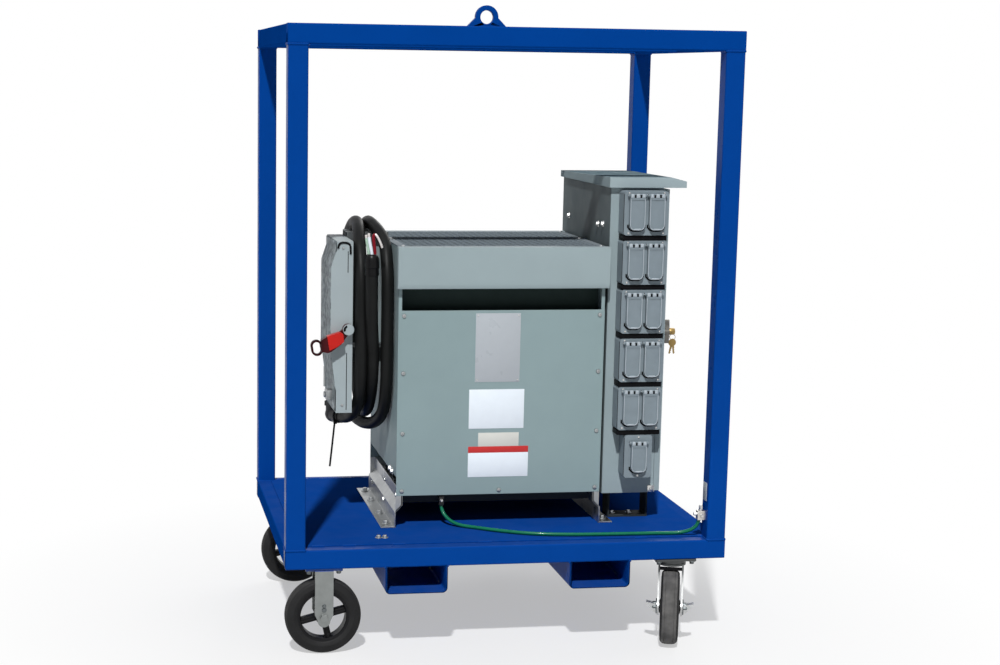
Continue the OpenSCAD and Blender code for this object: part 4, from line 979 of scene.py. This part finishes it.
SMALL_SCREW = (0.0038, 0.0022)
COVER_SCREWS_X, COVER_SCREWS_Z = -0.426, (0.635, 1.075)
LATCH = ((-0.464, -0.125, 0.64), (-0.442, -0.085, 0.668))
LATCH_KNOB = ((-0.464, -0.105, 0.654), (-0.469, -0.105, 0.654), 0.0085)
HINGE_XY, HINGES_Z, HINGE_HALF, HINGE_R = (-0.4465, 0.052), (0.68, 0.85, 1.02), 0.03, 0.0042


def make_switch():
    dark = Build()
    y = SWITCH_FRONT - 0.0002
    for (xa, za), (xb, zb) in SEAMS:
        dark.box((xa - 0.001, y - 0.0004, za), (xb + 0.001, y + 0.0006, zb), soft=0.0002)
    # The seams are grooves in the switch's face; the black arc is painted shadow
    dark.bead(smooth_line([Vector((x, y, z)) for x, z in ARC_SHADOW], 5), 0.003, 8)
    dark.done("switch_seams_and_arc_shadow", BLACK, "switch_grey")
    flange = Build().solid(COVER_FLANGE, basis(Vector((0, -0.1762, 0)), FRONT, RIGHT), 0.004, soft=0.001)
    flange.done("cover_flange", SWITCH, "switch_grey")
    light = Build()
    for z in COVER_SCREWS_Z:
        light.screw((COVER_SCREWS_X, y, z), FRONT, *SMALL_SCREW)
    light.box(*LATCH, soft=0.002)
    light.rod(*LATCH_KNOB, 20, soft=0.001)
    for z in HINGES_Z:
        x, y = HINGE_XY
        light.rod((x, y, z - HINGE_HALF), (x, y, z + HINGE_HALF), HINGE_R, soft=0.001)
    light.done("switch_fittings", ZINC, "zinc")


def make_lever():
    """The bright hub with its dark notch and the red moulded grip over the lever's own plate."""
    hub = Build().lathe(LEVER_HUB, LEVER_AT, FRONT, 40)
    hub.done("lever_hub", SWITCH, "lever_red", "switch_lever")
    sweep = [(NOTCH_OUT, a) for a in NOTCH_ANGLES] + [(NOTCH_IN, a) for a in reversed(NOTCH_ANGLES)]
    notch = [(r * math.cos(a), r * math.sin(a)) for r, a in sweep]
    place = basis(LEVER_AT, FRONT, RIGHT) @ Matrix.Translation((0, 0, 0.0238))
    Build().solid(notch, place, 0.0012, soft=0.0003).done("hub_notch", BLACK, "lever_red", "switch_lever")
    along = Vector((-math.cos(LEVER_DIP), 0, -math.sin(LEVER_DIP)))
    place = basis(LEVER_AT, FRONT, along) @ Matrix.Translation((0, 0, LEVER_FACE - 0.0012))
    outline = [(x * LEVER_REACH, y * LEVER_REACH) for x, y in GRIP_SHARES]
    grip = Build().solid(outline, place, 0.0252, soft=0.005)
    grip.done("lever_grip", LEVER, "lever_red", "switch_lever")


TIE_TAIL = [
    mm(-419, 4, 560), mm(-424, -4, 550), mm(-427.5, -6, 520), mm(-431.5, -6, 480), mm(-437, -4, 424),
]
TIE_R, TIE_AT = 0.0028, 0.014
TIE_BAND = [(0.0172, -0.0035), (0.0192, -0.0035), (0.0192, 0.0035), (0.0172, 0.0035)]
TIE_HEAD = ((-0.43, -0.03, 0.553), (-0.42, -0.018, 0.562))


def make_cable_tie():
    tail = Build().bead(smooth_line(TIE_TAIL, 4), TIE_R, 6)
    ahead = (LEAD_ROUTE[1] - LEAD_ROUTE[0]).normalized()
    tail.lathe(TIE_BAND, LEAD_ROUTE[0] + ahead * TIE_AT, ahead, 32, closed=True)
    tail.box(*TIE_HEAD, soft=0.0015)
    tail.done("cable_tie", BLACK, "cable_black")


# Distribution panel
BREAKER_FACE, BREAKER_Y, BREAKER_MID = 0.4305, (-0.017, 0.087), 0.0125
BREAKER_Z0, BREAKER_PITCH, BREAKER_ROWS = 0.6513, 0.027, 12
PANEL_BOLTS_YZ, PANEL_BOLT = ((0.217, 1.137), (-0.117, 1.138), (-0.169, 1.142)), (0.011, 0.007)
DEAD_FRONT_X, FRONT_SCREW = 0.4125, (0.005, 0.0028)
FRONT_SCREWS_Y, FRONT_SCREWS_Z = (-0.205, 0.275), (0.41, 0.81, 1.21)
LOW_CLIP = ((0.45, -0.2345, 0.3795), (0.47, -0.2296, 0.399))
LOW_CLIP_SCREW = ((0.46, -0.2345, 0.389), FRONT, 0.0045, 0.0028)
HANDLE_PLATE = ((DOOR_OUT - 0.0004, -0.219, 0.793), (DOOR_OUT + 0.0022, -0.177, 0.884))
HANDLE_SCREWS_Z = (0.8, 0.877)


def make_panel():
    bolts = Build()
    for y, z in PANEL_BOLTS_YZ:
        bolts.bolt((PANEL_LEFT, y, z), LEFT, *PANEL_BOLT)
    for y in FRONT_SCREWS_Y:
        for z in FRONT_SCREWS_Z:
            bolts.screw((DEAD_FRONT_X, y, z), RIGHT, *FRONT_SCREW)
    bolts.box(*LOW_CLIP, soft=0.0012)
    bolts.screw(*LOW_CLIP_SCREW)
    bolts.done("panel_bolts", STEEL, "zinc")
    toggles, x = Build(), BREAKER_FACE
    for y in BREAKER_Y:
        for k in range(BREAKER_ROWS):
            z = BREAKER_Z0 + k * BREAKER_PITCH + BREAKER_MID
            toggles.box((x - 0.001, y - 0.024, z - 0.009), (x + 0.002, y + 0.024, z + 0.009), 0.0008)
            toggles.box((x, y - 0.012, z - 0.005), (x + 0.011, y + 0.002, z + 0.005), 0.0018)
    toggles.done("breaker_toggles", DARK, "breaker_black")
    plate = Build().box(*HANDLE_PLATE, soft=0.0012)
    for z in HANDLE_SCREWS_Z:
        plate.screw((DOOR_OUT + 0.0022, -0.198, z), RIGHT, *SMALL_SCREW)
    plate.done("handle_plate", STEEL, "handle_metal", "panel_door")


LOCK_AT, KEY_AT = mm(507.8, -198, 838.3), mm(519, -198, 838)
LOCK_PROFILE = [
    (0, 0), (0.0094, 0), (0.0098, 0.0012), (0.0098, 0.0145), (0.0088, 0.016), (0.003, 0.0162),
    (0.0026, 0.015), (0, 0.015),
]
RING_R, RING_DROP = 0.008, 0.016
KEY_BLADE = [
    (0.016, -0.003), (0.026, -0.003), (0.028, -0.0012), (0.031, -0.003), (0.034, -0.001),
    (0.037, -0.0028), (0.04, -0.0012), (0.042, 0.0006), (0.04, 0.003), (0.016, 0.003),
]


def make_lock():
    lock = Build().lathe(LOCK_PROFILE, LOCK_AT, RIGHT, 36)
    lock.done("lock_cylinder", BRASS, "handle_metal", "door_handle")
    face = Matrix.Rotation(math.radians(68), 4, "Z")
    ring = [KEY_AT + face @ Vector((0, RING_R * math.cos(a), RING_R * math.sin(a) - RING_DROP))
            for a in round_angles(24)]
    keys = Build().bead(ring, 0.0008, 6, closed=True)
    for lean, drop in ((-8, 0.0), (10, 0.0015)):
        lean_turn = Matrix.Rotation(math.radians(lean), 4, "X")
        turn = Matrix.Translation(KEY_AT - UP * (0.0225 + drop)) @ face @ lean_turn
        place = turn @ Matrix.Rotation(math.pi / 2, 4, "Y")
        x = 0.0011 if lean > 0 else -0.0011
        bow = [(0.0105 * math.cos(a) + 0.0085, 0.0095 * math.sin(a)) for a in round_angles(20)]
        keys.solid(bow, place @ Matrix.Translation((0, 0, x - 0.0009)), 0.0018, soft=0.0004)
        keys.solid(KEY_BLADE, place @ Matrix.Translation((0, 0, x - 0.0008)), 0.0016, soft=0.0003)
    keys.done("keys", BRASS, "handle_metal", "panel_door")


# Outlets
GANG_X, GANG_TOP, GANG_PITCH, GANG_ROWS = 0.403, 1.2413, 0.137, 5
GANG_W, SINGLE_W, GANG_H = 0.126, 0.08, 0.122
LID_X, LID_HALF = 0.028, 0.022
PIN_Y, PIN_DROP = -0.292, 0.0115
LID_FRONT = PIN_Y + 0.0055 - 0.012
KNUCKLES = ((-0.0205, -0.0112), (-0.0052, 0.0052), (0.0112, 0.0205))
OUTLET_SCREW_X, OUTLET_SCREW = 0.05, (0.0032, 0.002)


def lid_places():
    for k in range(GANG_ROWS + 1):
        single = k == GANG_ROWS
        pin_z = GANG_TOP - k * GANG_PITCH - PIN_DROP - (0.01 if single else 0)
        for x in ((0.0,) if single else (-LID_X, LID_X)):
            side = "" if single else ("_left" if x < 0 else "_right")
            yield f"lid_{k + 1}{side}", GANG_X + x, pin_z, (0.084 if single else 0.096)


def make_outlets():
    screws, gap_shade = Build(), Build()
    for k in range(GANG_ROWS):
        top = GANG_TOP - k * GANG_PITCH
        # Black bands across the gaps between the boxes: painted shade
        gap_shade.box((GANG_X - 0.0615, -0.2815, top - GANG_PITCH + 0.0006),
                    (GANG_X + 0.0615, -0.2306, top - GANG_H - 0.0006), soft=0.0008)
    for k in range(GANG_ROWS + 1):
        top = GANG_TOP - k * GANG_PITCH
        half = (SINGLE_W if k == GANG_ROWS else GANG_W) / 2
        for x in ((0.0,) if k == GANG_ROWS else (-OUTLET_SCREW_X, OUTLET_SCREW_X)):
            for z in (top - 0.0055, top - GANG_H + 0.006):
                screws.screw((GANG_X + x, PLATE_Y, z), FRONT, *OUTLET_SCREW)
        # Thin black strips along each plate's sides: painted shade
        for sx in SIDES:
            x = GANG_X + sx * (half + 0.0002)
            low, high = top - GANG_H + 0.008, top - 0.008
            gap_shade.box((x - 0.0007, -0.2834, low), (x + 0.0007, -0.2814, high), 0.0003)
    for _, x, z, _ in lid_places():
        for s in SIDES:
            end = x + s * (LID_HALF + 0.0043)
            screws.rod((end - s * 0.001, PIN_Y, z), (end + s * 0.0012, PIN_Y, z), 0.0028, 16, soft=0.0006)
    screws.done("plate_screws", STEEL, "zinc")
    gap_shade.done("box_gap_shade", BLACK, "breaker_black")


def lid_edge(x, low, high, half, corner, y):
    """Down one side, round the lower end and up the other side."""
    points = [Vector((x - half, y, high)), Vector((x - half, y, (high + low) / 2))]
    for k in range(7):
        a = math.pi + k * math.pi / 12
        across, rise = corner * math.cos(a), corner * math.sin(a)
        points.append(Vector((x - half + corner + across, y, low + corner + rise)))
    return points + [Vector((2 * x - p.x, y, p.z)) for p in reversed(points)]


def make_lid_trim():
    """Hinge knuckles, the raised edge and the thumb lip of each lid in a lighter painted highlight, black
    painted shade between the knuckles, and a black band below each lid that is its painted shadow.
    """
    shadow_bands = Build()
    for name, x, z, height in lid_places():
        low, front = z - height, LID_FRONT
        trim = Build().box(
            (x - 0.01, front - 0.002, low + 0.001), (x + 0.01, front + 0.004, low + 0.005), 0.0012
        )
        for a, b in KNUCKLES:
            trim.box((x + a, front - 0.0016, z - 0.0062), (x + b, front + 0.0052, z + 0.0048), 0.0022)
        trim.bead(lid_edge(x, low + 0.0014, z - 0.01, LID_HALF - 0.0014, 0.013, front), 0.0011, 6)
        trim.done(name + "_trim", CAST_HIGHLIGHT, "cast_grey", name)
        # Black between the hinge knuckles: painted shade
        knuckle_shade = Build()
        for s in SIDES:
            mid, half = x + s * 0.0082, 0.0026
            near, far = front - 0.0004, front + 0.005
            knuckle_shade.box((mid - half, near, z - 0.0064), (mid + half, far, z + 0.0022), 0.0006)
        knuckle_shade.done(name + "_knuckle_shade", BLACK, "cast_grey", name)
        # A black band round each lid's lower end, on the plate: painted shadow of the lid
        rim = lid_edge(x, low - 0.0026, low + 0.015, LID_HALF + 0.002, 0.0165, PLATE_Y - 0.0006)
        shadow_bands.bead(rim, 0.0021, 6)
    shadow_bands.done("lid_shadow_bands", BLACK, "breaker_black")


# Each ground bolt: place, way out, size across the flats, height and washer
GROUND_BOLTS = (
    ((0.545, -0.43, 0.3698), UP, 0.012, 0.016, 1.2),
    ((0.545, -0.439, 0.357), FRONT, 0.009, 0.007, 1.15),
    ((0.5342, -0.43, 0.361), LEFT, 0.011, 0.009, 1.2),
    ((-0.145, -0.215, 0.365), FRONT, 0.008, 0.006, 1.15),
)


def make_ground_fittings():
    build = Build()
    for bolt in GROUND_BOLTS:
        build.bolt(*bolt)
    build.done("ground_bolts", STEEL, "zinc")


make_welds()
make_cage_fixings()
make_casters()
make_case_fixings()
make_labels()
make_grille()
make_switch()
make_lever()
make_cable_tie()
make_panel()
make_lock()
make_outlets()
make_lid_trim()
make_ground_fittings()


# Floor, light and colour
FLOOR_SIZE = 30.0
# The floor turns white from the first distance to the second, by these shares
FLOOR_FADE = (0.6, 1.6, 0.45, 1.0)
SKY_COLOR, SKY_STRENGTH = (0.92, 0.96, 1.0, 1), 0.14
WHITE = (1, 1, 1, 1)
KEY_TOWARD, KEY_STRENGTH, KEY_SPREAD = (0.183, 0.616, -0.766), 3.37, 0.04
BACK_AT, BACK_TARGET = Vector((2.6, 4.2, 3.6)), Vector((0, 0, 0.8))
BACK_WATTS, BACK_SIZE = 65, 3.0


def make_floor():
    s = Shader("pale_floor", (0.8, 0.8, 0.8), roughness=0.9)
    s.set("Base Color", s.mix(s.noise(3.0, 3.0), (0.79, 0.79, 0.79), (0.81, 0.81, 0.81)))
    place = s.node("ShaderNodeNewGeometry").outputs["Position"]
    length = s.node("ShaderNodeVectorMath", {0: place}, operation="LENGTH").outputs["Value"]
    white = s.times(s.span(length, *FLOOR_FADE), s.seen_rays())
    glow = s.node("ShaderNodeEmission", {"Color": WHITE})
    s.blend(white, s.bsdf.outputs["BSDF"], glow.outputs["Emission"], "Material Output")
    bm = bmesh.new()
    bmesh.ops.create_grid(bm, x_segments=1, y_segments=1, size=FLOOR_SIZE)
    mesh = bpy.data.meshes.new("floor")
    bm.to_mesh(mesh)
    bm.free()
    mesh.materials.append(s.material)
    floor = add("floor", mesh)


def make_lamp(name, kind, toward, energy, **settings):
    lamp = add(name, assign(bpy.data.lights.new(name, kind), energy=energy, **settings))
    lamp.rotation_euler = Vector(toward).to_track_quat("-Z", "Y").to_euler()
    return lamp


def make_world():
    world = bpy.data.worlds.new("studio")
    bpy.context.scene.world = world
    world.use_nodes = True
    w = Nodes(world.node_tree)
    light = w.nodes["Background"]
    w.feed(light, "Color", SKY_COLOR)
    w.feed(light, "Strength", SKY_STRENGTH)
    white = w.node("ShaderNodeBackground", {"Color": WHITE})
    w.blend(w.seen_rays(), light.outputs["Background"], white.outputs["Background"], "World Output")


make_floor()
make_world()
make_lamp("key", "SUN", KEY_TOWARD, KEY_STRENGTH, angle=KEY_SPREAD)
make_lamp("back", "AREA", BACK_TARGET - BACK_AT, BACK_WATTS, shape="DISK", size=BACK_SIZE).location = BACK_AT
bpy.context.scene.view_settings.view_transform = "Standard"
